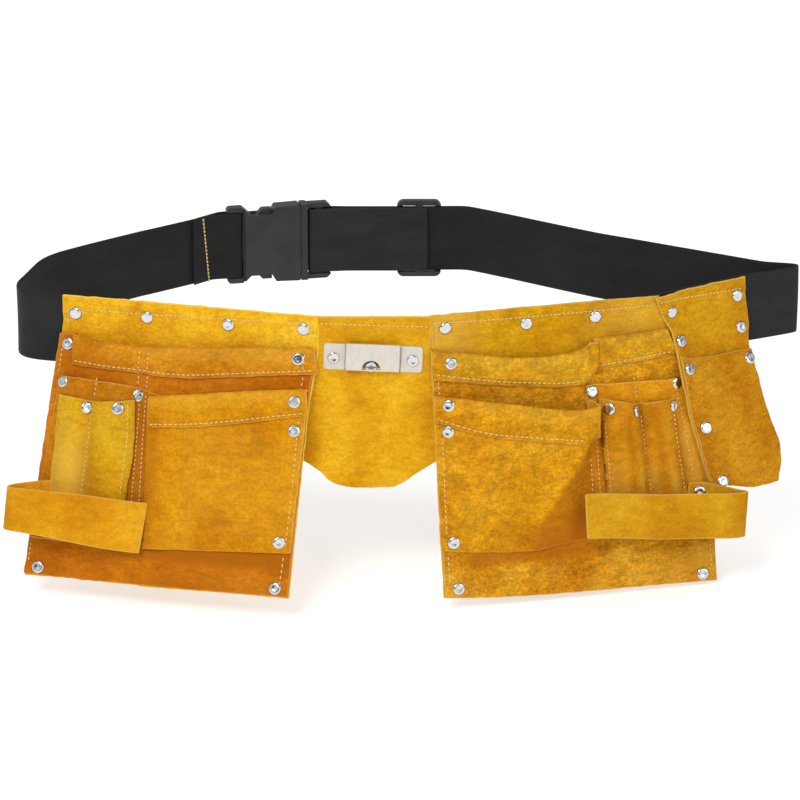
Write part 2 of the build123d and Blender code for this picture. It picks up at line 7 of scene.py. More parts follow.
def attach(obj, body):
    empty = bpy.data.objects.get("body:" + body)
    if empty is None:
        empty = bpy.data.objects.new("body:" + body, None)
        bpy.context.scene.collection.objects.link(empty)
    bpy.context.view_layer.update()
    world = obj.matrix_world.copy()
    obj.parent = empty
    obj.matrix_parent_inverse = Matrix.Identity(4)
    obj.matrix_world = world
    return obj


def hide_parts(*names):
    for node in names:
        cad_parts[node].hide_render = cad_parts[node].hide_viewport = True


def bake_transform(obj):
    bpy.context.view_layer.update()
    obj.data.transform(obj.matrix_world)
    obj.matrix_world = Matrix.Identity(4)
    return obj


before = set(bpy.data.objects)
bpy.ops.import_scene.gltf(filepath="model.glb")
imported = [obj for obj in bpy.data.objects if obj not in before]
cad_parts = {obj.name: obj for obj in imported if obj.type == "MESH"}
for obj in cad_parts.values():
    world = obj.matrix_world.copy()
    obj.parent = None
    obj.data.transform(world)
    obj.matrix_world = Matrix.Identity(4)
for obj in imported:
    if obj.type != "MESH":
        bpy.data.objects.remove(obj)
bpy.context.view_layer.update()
bpy.context.scene.view_settings.view_transform = "Standard"

MM = 0.001
UP = Vector((0, 0, 1))
BELT_HALF = 25.0  # half of the webbing's width; the apron's top edge is level with the webbing's
SUEDE_THICK = 2.0
HEM_THICK = 1.8
HEM_LIFT = 2.3  # middle of a hem's turned-over layer, off the sheet it finishes
ROW = 2.2  # spacing of the suede's mesh
BORDER = 0.55  # width of the narrow row along a sheet's edges
FINE = 240  # steps of a smooth edge before it is shared out
WANDER = 0.55  # how far a cut edge strays
WORN = 0.5  # width of the pale worn line along a cut edge
BULGE = 0.22  # how far a cut edge swells, as a share of the thickness
BEND = (14, 32)  # v where a hanging sheet leaves the belt, and where it has joined its pouch


# ---------------------------------------------------------------- frames
def smooth(a, b, x):
    """0 at a, 1 at b, eased between them; b may be the smaller one."""
    t = max(0.0, min(1.0, (x - a) / (b - a)))
    return t * t * (3 - 2 * t)


def hump(a, b, x, sharp=0.8):
    """0 outside a to b, rising smoothly to 1 halfway."""
    if x <= a or x >= b:
        return 0.0
    return sin(pi * (x - a) / (b - a)) ** sharp


def wave(u, v, size, seed):
    """Smooth random height between about -1 and 1, with features of the given size."""
    return noise.noise(Vector((u / size, v / size, seed)))


class Face:
    """A panel in mm: u along it, v down from its top edge, z outwards, softly folded at v 23.
    body is what its suede rides on; middle, a u along it, is not used."""

    fold, ease = 23.0, 7.0

    def __init__(self, corner, yaw, flare, body, middle=0.0):
        a, c = radians(yaw), radians(flare)
        self.body, self.middle = body, middle
        self.top = Vector((corner[0], corner[1], BELT_HALF))
        self.u = Vector((cos(a), sin(a), 0))
        self.n = Vector((sin(a), -cos(a), 0))
        self.down = self.n * sin(c) - UP * cos(c)
        self.m = self.n * cos(c) + UP * sin(c)

    def at(self, u, v, z=0.0):
        base = self.top + self.u * u
        if v <= self.fold - self.ease:
            return base - UP * v + self.n * z
        if v >= self.fold + self.ease:
            return base - UP * self.fold + self.down * (v - self.fold) + self.m * z
        t = (v - self.fold + self.ease) / (2 * self.ease)
        p0 = base - UP * (self.fold - self.ease)
        p1 = base - UP * self.fold
        p2 = p1 + self.down * self.ease
        point = p0 * (1 - t) ** 2 + p1 * 2 * t * (1 - t) + p2 * t * t
        return point + self.n.lerp(self.m, t).normalized() * z


LEFT = Face((-242.9, -69.6), -15.0, 21.0, "left_pouch", 90)
RIGHT = Face((15.1, -116.8), 15.7, 12.0, "right_pouch", 90)
HOLSTER = Face((172.6, -72.4), 34.1, 21.0, "right_pouch", 40)
CENTRE = Face((-62.2, -117.9), 0.0, 4.0, "belt")


# ---------------------------------------------------------------- curves
def spline(points, n):
    """n + 1 points evenly spread along a smooth line through the given points."""
    pts = [Vector(p) for p in points]
    dense = []
    for i in range(len(pts) - 1):
        p0 = pts[i - 1] if i else pts[0] * 2 - pts[1]
        p3 = pts[i + 2] if i + 2 < len(pts) else pts[-1] * 2 - pts[-2]
        p1, p2 = pts[i], pts[i + 1]
        for k in range(16):
            t = k / 16
            a = p1 * 2
            b = (p2 - p0) * t
            c = (p0 * 2 - p1 * 5 + p2 * 4 - p3) * t * t
            d = (p1 * 3 - p0 - p2 * 3 + p3) * t**3
            dense.append((a + b + c + d) * 0.5)
    dense.append(pts[-1])
    return evenly(dense, n)


def evenly(dense, n):
    """n + 1 points at equal distances along a line of points."""
    lengths = [0.0]
    for a, b in zip(dense, dense[1:]):
        lengths.append(lengths[-1] + (b - a).length)
    out, k = [], 0
    for i in range(n + 1):
        want = lengths[-1] * i / n
        while k < len(lengths) - 2 and lengths[k + 1] < want:
            k += 1
        span = max(1e-9, lengths[k + 1] - lengths[k])
        out.append(dense[k].lerp(dense[k + 1], (want - lengths[k]) / span))
    return out


def at_shares(line, fractions):
    """Points at the given fractions of an evenly spaced line."""
    last = len(line) - 1
    out = []
    for f in fractions:
        k = min(last - 1, int(f * last))
        out.append(line[k].lerp(line[k + 1], f * last - k))
    return out


def rounded(points, radii, step=1.5):
    """Plan-view line with tangent arcs at its inner corners, as evenly spaced points."""
    pts = [Vector(p) for p in points]
    dense = [pts[0]]
    for i in range(1, len(pts) - 1):
        a = (pts[i - 1] - pts[i]).normalized()
        b = (pts[i + 1] - pts[i]).normalized()
        half = a.angle(b) / 2
        cut = radii[i - 1] / math.tan(half)
        p, q = pts[i] + a * cut, pts[i] + b * cut
        for k in range(13):
            t = k / 12
            dense.append(p * (1 - t) ** 2 + pts[i] * 2 * t * (1 - t) + q * t * t)
    dense.append(pts[-1])
    total = sum((b - a).length for a, b in zip(dense, dense[1:]))
    return evenly(dense, max(4, int(total / step)))


def shares(length, step):
    """Fractions along a length: even steps with one narrow row at each end."""
    count = max(3, int(length / step))
    edge = BORDER / length
    inner = [edge + (1 - 2 * edge) * k / count for k in range(count + 1)]
    return [0.0] + inner + [1.0]


def coons(top, right, bottom, left, across, down):
    """Grid of (u, v) filling four edges; top and bottom run left to right, sides run down."""
    t_, b_ = at_shares(spline(top, FINE), across), at_shares(spline(bottom, FINE), across)
    l_, r_ = at_shares(spline(left, FINE), down), at_shares(spline(right, FINE), down)
    nu, nv = len(across) - 1, len(down) - 1
    grid = []
    for i, s in enumerate(across):
        row = []
        for j, t in enumerate(down):
            p = t_[i] * (1 - t) + b_[i] * t + l_[j] * (1 - s) + r_[j] * s
            p -= t_[0] * ((1 - s) * (1 - t)) + t_[nu] * (s * (1 - t))
            p -= b_[0] * ((1 - s) * t) + b_[nu] * (s * t)
            row.append(p)
        grid.append(row)
    return grid


# ---------------------------------------------------------------- mesh building
def place(name, data):
    obj = bpy.data.objects.new(name, data)
    bpy.context.scene.collection.objects.link(obj)
    return obj


def skin(start, rings, size):
    """Quads between rings of size points each, the first ring starting at index start."""
    quads = []
    for low in range(start, start + (rings - 1) * size, size):
        for k in range(size):
            n = (k + 1) % size
            quads.append((low + k, low + n, low + size + n, low + size + k))
    return quads


def make_mesh(name, verts, faces, uvs, material, edge=None, shade=None):
    mesh = bpy.data.meshes.new(name)
    mesh.from_pydata([tuple(v * MM) for v in verts], [], faces)
    layer = mesh.uv_layers.new(name="UVMap")
    for loop in mesh.loops:
        layer.data[loop.index].uv = uvs[loop.vertex_index]
    if edge is not None:
        attribute = mesh.attributes.new("edge", "FLOAT", "POINT")
        attribute.data.foreach_set("value", edge)
        attribute = mesh.attributes.new("tone", "FLOAT", "POINT")
        attribute.data.foreach_set("value", shade)
    mesh.polygons.foreach_set("use_smooth", [True] * len(mesh.polygons))
    mesh.update()
    mesh.validate()
    mesh.materials.append(material)
    return place(name, mesh)


def thick_sheet(name, points, uvs, thick, material, tones=None):
    """Closed sheet round a grid of middle points, with rounded cut edges."""
    nu, nv = len(points) - 1, len(points[0]) - 1
    verts, uv, edge, shade = [], [], [], []

    def normal(i, j):
        ds = points[min(i + 1, nu)][j] - points[max(i - 1, 0)][j]
        dt = points[i][min(j + 1, nv)] - points[i][max(j - 1, 0)]
        return dt.cross(ds).normalized()

    normals = [[normal(i, j) for j in range(nv + 1)] for i in range(nu + 1)]
    flat_uv = [[Vector(p) for p in row] for row in uvs]
    for side in (1, -1):
        for i in range(nu + 1):
            for j in range(nv + 1):
                verts.append(points[i][j] + normals[i][j] * (side * thick / 2))
                uv.append(tuple(flat_uv[i][j] / 100))
                gap = min(
                    (points[i][j] - points[0][j]).length,
                    (points[i][j] - points[nu][j]).length,
                    (points[i][j] - points[i][0]).length,
                    (points[i][j] - points[i][nv]).length,
                )
                edge.append(max(0.0, 1 - gap / WORN))
                shade.append(tones[i][j] if tones else 0.0)
    count = (nu + 1) * (nv + 1)

    def at(i, j, back=0):
        return back * count + i * (nv + 1) + j

    faces = []
    for i in range(nu):
        for j in range(nv):
            faces.append((at(i, j), at(i, j + 1), at(i + 1, j + 1), at(i + 1, j)))
            faces.append((at(i, j, 1), at(i + 1, j, 1), at(i + 1, j + 1, 1), at(i, j + 1, 1)))
    ring = [(i, 0) for i in range(nu)] + [(nu, j) for j in range(nv)]
    ring += [(i, nv) for i in range(nu, 0, -1)] + [(0, j) for j in range(nv, 0, -1)]
    middle = len(verts)
    for i, j in ring:
        inner = points[min(max(i, 1), nu - 1)][min(max(j, 1), nv - 1)]
        out = (points[i][j] - inner).normalized()
        verts.append(points[i][j] + out * (thick * BULGE))
        uv.append(tuple(flat_uv[i][j] / 100))
        edge.append(1.0)
        shade.append(tones[i][j] if tones else 0.0)
    for k in range(len(ring)):
        a, b = ring[k], ring[(k + 1) % len(ring)]
        m0, m1 = middle + k, middle + (k + 1) % len(ring)
        faces.append((at(*a), at(*b), m1, m0))
        faces.append((m0, m1, at(*b, 1), at(*a, 1)))
    return make_mesh(name, verts, faces, uv, material, edge, shade)


def no_tone(u, v):
    return 0.0


def sheet(name, face, depth, material, top, right, bottom, left, tone=no_tone, **held):
    """Suede sheet at depth(u, v) off a face, inside four edges given as (u, v) points.
    right and left hold only the points between the corners. The outline strays a little,
    as cut by hand, and tone shifts the colour: up darker, down paler; it paints shade under
    hems and pockets and in creases, some light, and uneven colour."""
    right = [top[-1], *right, bottom[-1]]
    left = [top[0], *left, bottom[0]]
    width = max(abs(top[-1][0] - top[0][0]), abs(bottom[-1][0] - bottom[0][0]))
    height = max(abs(left[-1][1] - left[0][1]), abs(right[-1][1] - right[0][1]))
    grid = coons(top, right, bottom, left, shares(width, ROW), shares(height, ROW))
    seed = sum(map(ord, name)) % 97
    points = []
    for row in grid:
        line = []
        for p in row:
            u = p.x + WANDER * wave(p.x, p.y, 7, seed)
            v = p.y + WANDER * wave(p.x, p.y, 7, seed + 40)
            ripple = 0.35 * wave(p.x, p.y, 12, seed + 3) + 0.3 * wave(p.x, p.y, 34, seed + 9)
            line.append(face.at(u, v, depth(p.x, p.y) + ripple))
        points.append(line)
    tones = [[tone(p.x, p.y) for p in row] for row in grid]
    leather(thick_sheet(name, points, grid, SUEDE_THICK, material, tones), face, **held)


def hem(name, face, depth, material, top, bottom, tone_shift=lambda u: 0.0):
    """Folded hem: down the front of a sheet from its top edge, over the top and just behind."""
    across = shares(abs(top[-1][0] - top[0][0]), ROW)
    steps = max(4, int(max(abs(b[1] - a[1]) for a, b in zip(top, bottom)) / ROW))
    t_, b_ = at_shares(spline(top, FINE), across), at_shares(spline(bottom, FINE), across)
    seed = sum(map(ord, name)) % 89
    tuck = 1.8
    over = [pi * k / 7 for k in range(8)]
    turned = [(tuck, -HEM_LIFT)] + [(-HEM_LIFT * 0.85 * sin(a), -HEM_LIFT * cos(a)) for a in over]
    points, uvs, tones = [], [], []
    for start, end in zip(t_, b_):
        length = (end - start).length
        way = (end - start) / max(1e-6, length)
        shape = turned + [(length * k / steps, HEM_LIFT) for k in range(1, steps)]
        shape += [(length - 0.5, HEM_LIFT), (length, HEM_LIFT * 0.9)]
        row, urow = [], []
        for d, off in shape:
            p = start + way * d
            ripple = 0.45 * wave(p.x, p.y, 8, seed) + 0.5 * wave(p.x, p.y, 21, seed + 5)
            jog = 0.45 * wave(p.x, 3 * (d > 2), 6, seed)
            out = depth(p.x, max(p.y, start.y)) + off + (ripple if d > 0 else ripple * 0.5)
            row.append(face.at(p.x, p.y + jog, out))
            urow.append(p)
        points.append(row)
        uvs.append(urow)
        last = len(shape) - 1
        # painted light: paler over the hem's folded top; painted shade: darker towards its lower edge
        lower = [0.2 * smooth(0.6, 1.0, j / last) for j in range(last + 1)]
        upper = [0.14 * smooth(0.75, 0.45, j / last) for j in range(last + 1)]
        tones.append([tone_shift(start.x) + dark - pale for dark, pale in zip(lower, upper)])
    leather(thick_sheet(name, points, uvs, HEM_THICK, material, tones), face)


def strap_loop(name, face, material, path, top, bottom, lean, rows=16, lumpy=0.5, **held):
    """Suede strip bent along a line of (u, z) points. At a share of its length, top and bottom
    give the v of its edges, and lean how far its lower edge is shifted along u."""
    line = spline(path, 110)
    line[0] = line[0].lerp(line[1], 0.4)
    width = 30.0
    last = len(line) - 1
    points, uvs = [], []
    run = 0.0  # length of strap so far
    for k, p in enumerate(line):
        if k:
            run += (p - line[k - 1]).length
        f = k / last
        row, urow = [], []
        for t in shares(width, width / rows):
            v = top(f) + (bottom(f) - top(f)) * t
            ripple = lumpy * wave(run, v, 24, 8.8) + 0.3 * wave(run, v, 10, 3.8)
            row.append(face.at(p.x + lean(f) * t, v, p.y + ripple))
            urow.append(Vector((run, v)))
        points.append(row)
        uvs.append(urow)
    leather(thick_sheet(name, points, uvs, SUEDE_THICK, material), face, **held)


def leather(obj, face, replaces=(), bends=False):
    """Hangs a piece on its face's body; one that bends is hung on no body, its transform only baked."""
    for node in replaces:
        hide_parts(node)
    if bends:
        start, end = face.at(face.middle, BEND[0]), face.at(face.middle, BEND[1])
        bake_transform(obj)
    else:
        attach(obj, face.body)


# ---------------------------------------------------------------- rivets and thread
def lathe(profile, turns=28):
    """(verts, faces) of a profile of (radius, height) turned about z."""
    verts = []
    for r, h in profile:
        for k in range(turns):
            a = 2 * pi * k / turns
            verts.append(Vector((r * cos(a), r * sin(a), h)))
    faces = skin(0, len(profile), turns)
    faces.append(tuple(range(turns))[::-1])
    last = (len(profile) - 1) * turns
    faces.append(tuple(range(last, last + turns)))
    return verts, faces


# (radius, height) profiles of the domed cap, the flat cap in the clip's ears and the back cap
CAP = [(4.2, -0.35), (4.5, 0.1), (4.45, 0.55), (4.0, 1.05), (3.2, 1.38), (2.4, 1.42), (1.5, 1.28)]
CAP += [(0.6, 1.2), (0.05, 1.18)]
FLAT = [(3.9, -0.3), (4.1, 0.1), (3.9, 0.5), (3.2, 0.75), (2.2, 0.7), (1.6, 0.45), (0.05, 0.4)]
BACK = [(3.6, -0.2), (3.75, 0.15), (3.4, 0.6), (2.4, 0.85), (0.9, 0.8), (0.05, 0.78)]


def studs(name, spots, body, replaced):
    """Rivet caps at (foot, outward direction, profile) spots, as one piece."""
    verts, faces, uvs = [], [], []
    for number, (foot, out, profile) in enumerate(spots):
        v, f = lathe(profile)
        tilt = Matrix.Rotation(radians(4 * sin(number * 7.3)), 3, "X")
        turn = out.normalized().to_track_quat("Z", "Y").to_matrix() @ tilt
        start = len(verts)
        for p in v:
            verts.append(foot + turn @ p)
            uvs.append((p.x / 10 + number, p.y / 10))
        faces += [tuple(start + i for i in g) for g in f]
    obj = make_mesh(name, verts, faces, uvs, NICKEL)
    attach(obj, body)
    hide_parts(replaced)


def cap_at(face, u, v, depth, lift=1.0, profile=CAP):
    p = face.at(u, v, depth(u, v) + lift)
    a = face.at(u + 3, v, depth(u + 3, v) + lift) - face.at(u - 3, v, depth(u - 3, v) + lift)
    b = face.at(u, v + 3, depth(u, v + 3) + lift) - face.at(u, v - 3, depth(u, v - 3) + lift)
    return (p, b.cross(a), profile)


def back_at(face, u, v, z):
    p = face.at(u, v, z)
    return (p, face.at(u, v, z - 5) - p, BACK)


def rivets(face, rear, rows):
    """Caps at (u, v, depth, lift, shows behind) rows, then the back caps of those that show
    behind, at rear(u, v)."""
    fronts = [cap_at(face, u, v, depth, lift) for u, v, depth, lift, _ in rows]
    return fronts + [back_at(face, u, v, rear(u, v)) for u, v, _, _, behind in rows if behind]


def flat(depth):
    return lambda u, v: depth


POUCH_REAR = flat(-2.0)
BELT_REAR = -3.7  # back of the webbing behind the strips, off their faces
CLIP_REAR = -4.6

TIGHT = 0.94  # stitches are drawn a little tighter than their pitch
FILL = 0.66  # share of the pitch that the thread shows on top


class Thread:
    """Collects stitches that ride on one body, then makes them one mesh."""

    def __init__(self):
        self.verts, self.faces, self.uvs = [], [], []

    def stitch(self, a, b, out, width=0.44):
        way = (b - a).normalized()
        side = out.cross(way).normalized()
        start = len(self.verts)
        rings = [(0.0, 0.15, -0.25), (0.18, 0.9, 0.22), (0.5, 1.0, 0.42)]
        rings += [(0.82, 0.9, 0.22), (1.0, 0.15, -0.25)]
        for t, fat, rise in rings:
            centre = a.lerp(b, t) + out * rise
            for k in range(6):
                ang = 2 * pi * k / 6
                sideways, upwards = cos(ang) * width * fat, sin(ang) * 0.42 * fat
                self.verts.append(centre + side * sideways + out * upwards)
                self.uvs.append((t * 0.3 + start * 0.01, k / 6))
        self.faces += skin(start, len(rings), 6)

    def seam(self, face, depth, pitch, lift, *points):
        """Stitches along (u, v) points, lift above the middle of the sheet at depth(u, v)."""
        length = sum((Vector(b) - Vector(a)).length for a, b in zip(points, points[1:]))
        dense = spline(points, max(2, int(length / (pitch * TIGHT))))
        for a, b in zip(dense, dense[1:]):
            end = a.lerp(b, FILL)
            pa = face.at(a.x, a.y, depth(a.x, a.y) + lift)
            pb = face.at(end.x, end.y, depth(end.x, end.y) + lift)
            pc = face.at(a.x + 1, a.y, depth(a.x + 1, a.y) + lift)
            pd = face.at(a.x, a.y + 1, depth(a.x, a.y + 1) + lift)
            out = (pd - pa).cross(pc - pa).normalized()
            self.stitch(pa, pb, out)

    def build(self, name, body):
        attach(make_mesh(name, self.verts, self.faces, self.uvs, THREAD), body)


# ---------------------------------------------------------------- materials
class Nodes:
    """A new material's shader nodes; outputs are passed on as (node, output) pairs."""

    def __init__(self, name):
        self.material = bpy.data.materials.new(name)
        self.material.use_nodes = True
        self.tree = self.material.node_tree
        self.shader = self.tree.nodes["Principled BSDF"]

    def add(self, kind, **inputs):
        node = self.tree.nodes.new(kind)
        for key, value in inputs.items():
            node.inputs[key.replace("_", " ")].default_value = value
        return node

    def look(self, **values):
        for key, value in values.items():
            self.shader.inputs[key.replace("_", " ")].default_value = value

    def link(self, a, out, b, into):
        self.tree.links.new(a.outputs[out], b.inputs[into])

    def mapped(self, scale, offset=(0, 0, 0), turn=0.0):
        coord = self.tree.nodes.new("ShaderNodeTexCoord")
        mapping = self.add("ShaderNodeMapping")
        mapping.inputs["Scale"].default_value = scale
        mapping.inputs["Location"].default_value = offset
        mapping.inputs["Rotation"].default_value = (0, 0, turn)
        self.link(coord, "UV", mapping, "Vector")
        return mapping

    def noise(self, scale, detail, rough, offset, turn=0.0):
        mapping = self.mapped(scale, offset, turn)
        node = self.add("ShaderNodeTexNoise", Scale=1.0, Detail=detail, Roughness=rough)
        self.link(mapping, "Vector", node, "Vector")
        return node

    def ramp(self, source, out, stops):
        node = self.tree.nodes.new("ShaderNodeValToRGB")
        while len(node.color_ramp.elements) < len(stops):
            node.color_ramp.elements.new(0.5)
        for element, (position, value) in zip(node.color_ramp.elements, stops):
            element.position = position
            element.color = (value, value, value, 1) if isinstance(value, float) else (*value, 1)
        self.link(source, out, node, "Fac")
        return node

    def mix(self, kind, amount, a, b):
        """Mix node; amount, a and b are each a (node, output) pair or a constant."""
        node = self.tree.nodes.new("ShaderNodeMix")
        node.data_type = "RGBA"
        node.blend_type = kind
        for value, index in ((amount, 0), (a, 6), (b, 7)):
            if isinstance(value, tuple) and hasattr(value[0], "outputs"):
                self.link(*value, node, index)
            elif index == 0:
                node.inputs[0].default_value = value
            else:
                node.inputs[index].default_value = (*value, 1)
        return (node, 2)

    def gain(self, source, factor):
        node = self.tree.nodes.new("ShaderNodeVectorMath")
        node.operation = "SCALE"
        node.inputs["Scale"].default_value = factor
        self.link(*source, node, 0)
        return (node, 0)

    def attribute(self, name):
        node = self.tree.nodes.new("ShaderNodeAttribute")
        node.attribute_name = name
        return node

    def bump(self, height, strength, distance, chain=None):
        node = self.add("ShaderNodeBump", Strength=strength, Distance=distance)
        self.link(*height, node, "Height")
        if chain is not None:
            self.link(chain, "Normal", node, "Normal")
        return node


def suede(name, base, seed, rough):
    """Split suede: cloudy dye, brushed nap, fine mottling and paler cut edges."""
    n = Nodes(name)
    nap = 0.4  # direction in which the nap is brushed
    headroom = 1.5  # a ramp holds no value above 1, so it is scaled down and back up
    shift = (seed * 3.17, seed * 5.3, seed)
    clouds = n.noise((2.6, 2.0, 1), 3.0, 0.55, shift, nap)
    strokes = n.noise((10, 19, 1), 4.0, 0.6, shift, nap)
    mottle = n.noise((38, 44, 1), 3.0, 0.65, shift)
    fuzz = n.noise((110, 135, 1), 3.0, 0.75, shift)
    dark = tuple(c * k for c, k in zip(base, (0.84, 0.74, 0.62)))
    light = tuple(c * k for c, k in zip(base, (1.08, 1.20, 1.9)))
    tone = (n.ramp(clouds, "Fac", [(0.34, dark), (0.50, base), (0.66, light)]), "Color")
    wide = 0.16 * rough
    for source, low, high, low_value, high_value in (
        (strokes, 0.36, 0.64, 1 - wide, 1 + wide * 0.8),
        (mottle, 0.36, 0.64, 1 - wide, 1 + wide * 0.9),
        (fuzz, 0.34, 0.66, 1 - wide * 1.3, 1 + wide * 1.3),
    ):
        factor = n.ramp(source, "Fac", [(low, low_value / headroom), (high, high_value / headroom)])
        tone = n.mix("MULTIPLY", 1.0, tone, (factor, "Color"))
        tone = n.gain(tone, headroom)
    # the tone attribute paints shade into the colour towards dark brown (under hems and pockets, in
    # creases), and some painted light towards pale tan, along with uneven colour
    tone_shift = n.attribute("tone")
    painted_shade_and_dye = n.ramp(tone_shift, "Fac", [(0.0, 0.0), (1.0, 1.0)])
    tone = n.mix("MIX", (painted_shade_and_dye, "Color"), tone, (0.40, 0.115, 0.004))
    flipped = n.tree.nodes.new("ShaderNodeMath")
    flipped.operation = "MULTIPLY"
    flipped.inputs[1].default_value = -1.0
    n.link(tone_shift, "Fac", flipped, 0)
    painted_light_and_pale_dye = n.ramp(flipped, 0, [(0.0, 0.0), (1.0, 1.0)])
    tone = n.mix("MIX", (painted_light_and_pale_dye, "Color"), tone, (0.80, 0.50, 0.07))
    edge = n.attribute("edge")
    worn = n.ramp(edge, "Fac", [(0.25, 0.0), (1.0, 0.75)])
    pale = (min(1.0, base[0] * 1.15), min(1.0, base[1] * 1.45 + 0.04), base[2] * 4 + 0.06)
    tone = n.mix("MIX", (worn, "Color"), tone, pale)
    n.link(*tone, n.shader, "Base Color")
    n.look(Roughness=0.95, Specular_IOR_Level=0.06, Sheen_Weight=0.06, Sheen_Roughness=0.5)
    n.look(Sheen_Tint=(1.0, 0.65, 0.15, 1))
    coarse = n.bump((mottle, "Fac"), 0.55 * rough, 0.0012)
    brushed = n.bump((strokes, "Fac"), 0.5 * rough, 0.0016, coarse)
    fine = n.bump((fuzz, "Fac"), 0.7, 0.0006, brushed)
    n.link(fine, "Normal", n.shader, "Normal")
    return n.material


def webbing(name, gain=1.0):
    """Black polypropylene webbing: ribs along and across, dull sheen, a little lint."""
    n = Nodes(name)
    ribs = []
    for scale in ((95, 0.01, 1), (0.01, 62, 1)):
        mapping = n.mapped(scale)
        rib = n.add("ShaderNodeTexWave", Scale=0.32, Distortion=0.4)
        rib.bands_direction = "DIAGONAL"
        n.link(mapping, "Vector", rib, "Vector")
        ribs.append(rib)
    weave = n.mix("MULTIPLY", 1.0, (ribs[0], "Color"), (ribs[1], "Color"))
    clouds = n.noise((2, 6, 1), 3.0, 0.6, (1, 2, 3))
    lint = n.noise((60, 60, 1), 2.0, 0.8, (7, 2, 3))
    tone = n.ramp(clouds, "Fac", [(0.3, (0.0095, 0.0105, 0.0115)), (0.7, (0.0170, 0.0190, 0.0205))])
    lint_tone = n.ramp(lint, "Fac", [(0.64, 0.0), (0.78, 0.12)])
    colour = n.mix("MIX", (lint_tone, "Color"), (tone, "Color"), (0.09, 0.088, 0.08))
    colour = n.mix("MULTIPLY", 0.2, colour, weave)
    colour = n.gain(colour, gain)
    n.link(*colour, n.shader, "Base Color")
    n.look(Roughness=0.7, Specular_IOR_Level=0.22, Sheen_Weight=0.02)
    relief = n.bump(weave, 0.25, 0.0003)
    n.link(relief, "Normal", n.shader, "Normal")
    return n.material


def plastic(name):
    """Moulded plastic: nearly black, with a fine grain and uneven gloss."""
    n = Nodes(name)
    coord = n.tree.nodes.new("ShaderNodeTexCoord")
    fine = n.add("ShaderNodeTexNoise", Scale=900.0, Detail=2.0)
    n.link(coord, "Object", fine, "Vector")
    big = n.add("ShaderNodeTexNoise", Scale=60.0, Detail=3.0)
    n.link(coord, "Object", big, "Vector")
    tone = n.ramp(big, "Fac", [(0.3, (0.020, 0.023, 0.029)), (0.7, (0.029, 0.033, 0.041))])
    n.link(tone, "Color", n.shader, "Base Color")
    gloss = n.ramp(big, "Fac", [(0.3, 0.36), (0.7, 0.48)])
    n.link(gloss, "Color", n.shader, "Roughness")
    relief = n.bump((fine, "Fac"), 0.25, 0.0002)
    n.link(relief, "Normal", n.shader, "Normal")
    return n.material


def metal(name, tint, rough_low, rough_high, streak, depth, metallic=1.0):
    """Plated metal with fine streaks in its tint and gloss."""
    n = Nodes(name)
    coord = n.tree.nodes.new("ShaderNodeTexCoord")
    mapping = n.add("ShaderNodeMapping")
    mapping.inputs["Scale"].default_value = streak
    n.link(coord, "Object", mapping, "Vector")
    scratches = n.add("ShaderNodeTexNoise", Scale=1.0, Detail=5.0, Roughness=0.7)
    n.link(mapping, "Vector", scratches, "Vector")
    n.look(Metallic=metallic)
    tone = n.ramp(scratches, "Fac", [(0.3, tuple(c * 0.85 for c in tint)), (0.62, tint)])
    n.link(tone, "Color", n.shader, "Base Color")
    gloss = n.ramp(scratches, "Fac", [(0.35, rough_low), (0.7, rough_high)])
    n.link(gloss, "Color", n.shader, "Roughness")
    relief = n.bump((scratches, "Fac"), depth, 0.0003)
    n.link(relief, "Normal", n.shader, "Normal")
    return n.material


def thread(name):
    """Waxed cream thread with a visible twist."""
    n = Nodes(name)
    twist = n.noise((40, 8, 1), 2.0, 0.6, (2, 2, 2))
    tone = n.ramp(twist, "Fac", [(0.35, (0.60, 0.42, 0.15)), (0.65, (0.83, 0.66, 0.32))])
    n.link(tone, "Color", n.shader, "Base Color")
    n.look(Roughness=0.8, Sheen_Weight=0.3)
    relief = n.bump((twist, "Fac"), 0.4, 0.0002)
    n.link(relief, "Normal", n.shader, "Normal")
    return n.material


STRIP = suede("suede_strip", (0.760, 0.400, 0.012), 2.0, 0.9)
STRIP_RIGHT = suede("suede_strip_right", (0.555, 0.262, 0.004), 8.0, 1.0)
CENTRE_SUEDE = suede("suede_centre", (0.700, 0.355, 0.009), 9.0, 0.7)
REAR_LEFT = suede("suede_rear_left", (0.560, 0.175, 0.006), 3.0, 1.0)
REAR_LEFT_HEM = suede("suede_rear_left_hem", (0.575, 0.222, 0.008), 3.4, 1.0)
MAIN_LEFT = suede("suede_main_left", (0.610, 0.248, 0.004), 1.0, 0.9)
SLOT_LEFT = suede("suede_slot_left", (0.605, 0.310, 0.008), 5.0, 0.8)
REAR_RIGHT = suede("suede_rear_right", (0.600, 0.255, 0.008), 4.0, 1.6)
HEM_RIGHT = suede("suede_hem_right", (0.585, 0.280, 0.009), 4.4, 1.3)
MAIN_RIGHT = suede("suede_main_right", (0.580, 0.242, 0.004), 6.4, 1.3)
BAND_RIGHT = suede("suede_band_right", (0.670, 0.270, 0.007), 6.9, 0.9)
SLOT_RIGHT = suede("suede_slot_right", (0.530, 0.215, 0.006), 7.7, 0.8)
HOLSTER_TOP = suede("suede_holster_top", (0.585, 0.274, 0.006), 10.1, 0.9)
HOLSTER_SUEDE = suede("suede_holster", (0.530, 0.218, 0.005), 6.0, 1.1)
LOOP_LEFT = suede("suede_loop_left", (0.650, 0.285, 0.007), 7.0, 0.6)
LOOP_RIGHT = suede("suede_loop_right", (0.560, 0.265, 0.007), 7.3, 0.6)
WEBBING = webbing("webbing_black")
PLASTIC = plastic("buckle_plastic")
NICKEL = metal("rivet_nickel", (0.64, 0.64, 0.65), 0.12, 0.26, (300, 300, 300), 0.25)
STEEL = metal("clip_steel", (0.64, 0.595, 0.53), 0.5, 0.62, (300, 300, 90), 0.06, 0.3)
THREAD = thread("thread_cream")

left_thread, right_thread, belt_thread, arm_thread = (Thread() for _ in range(4))


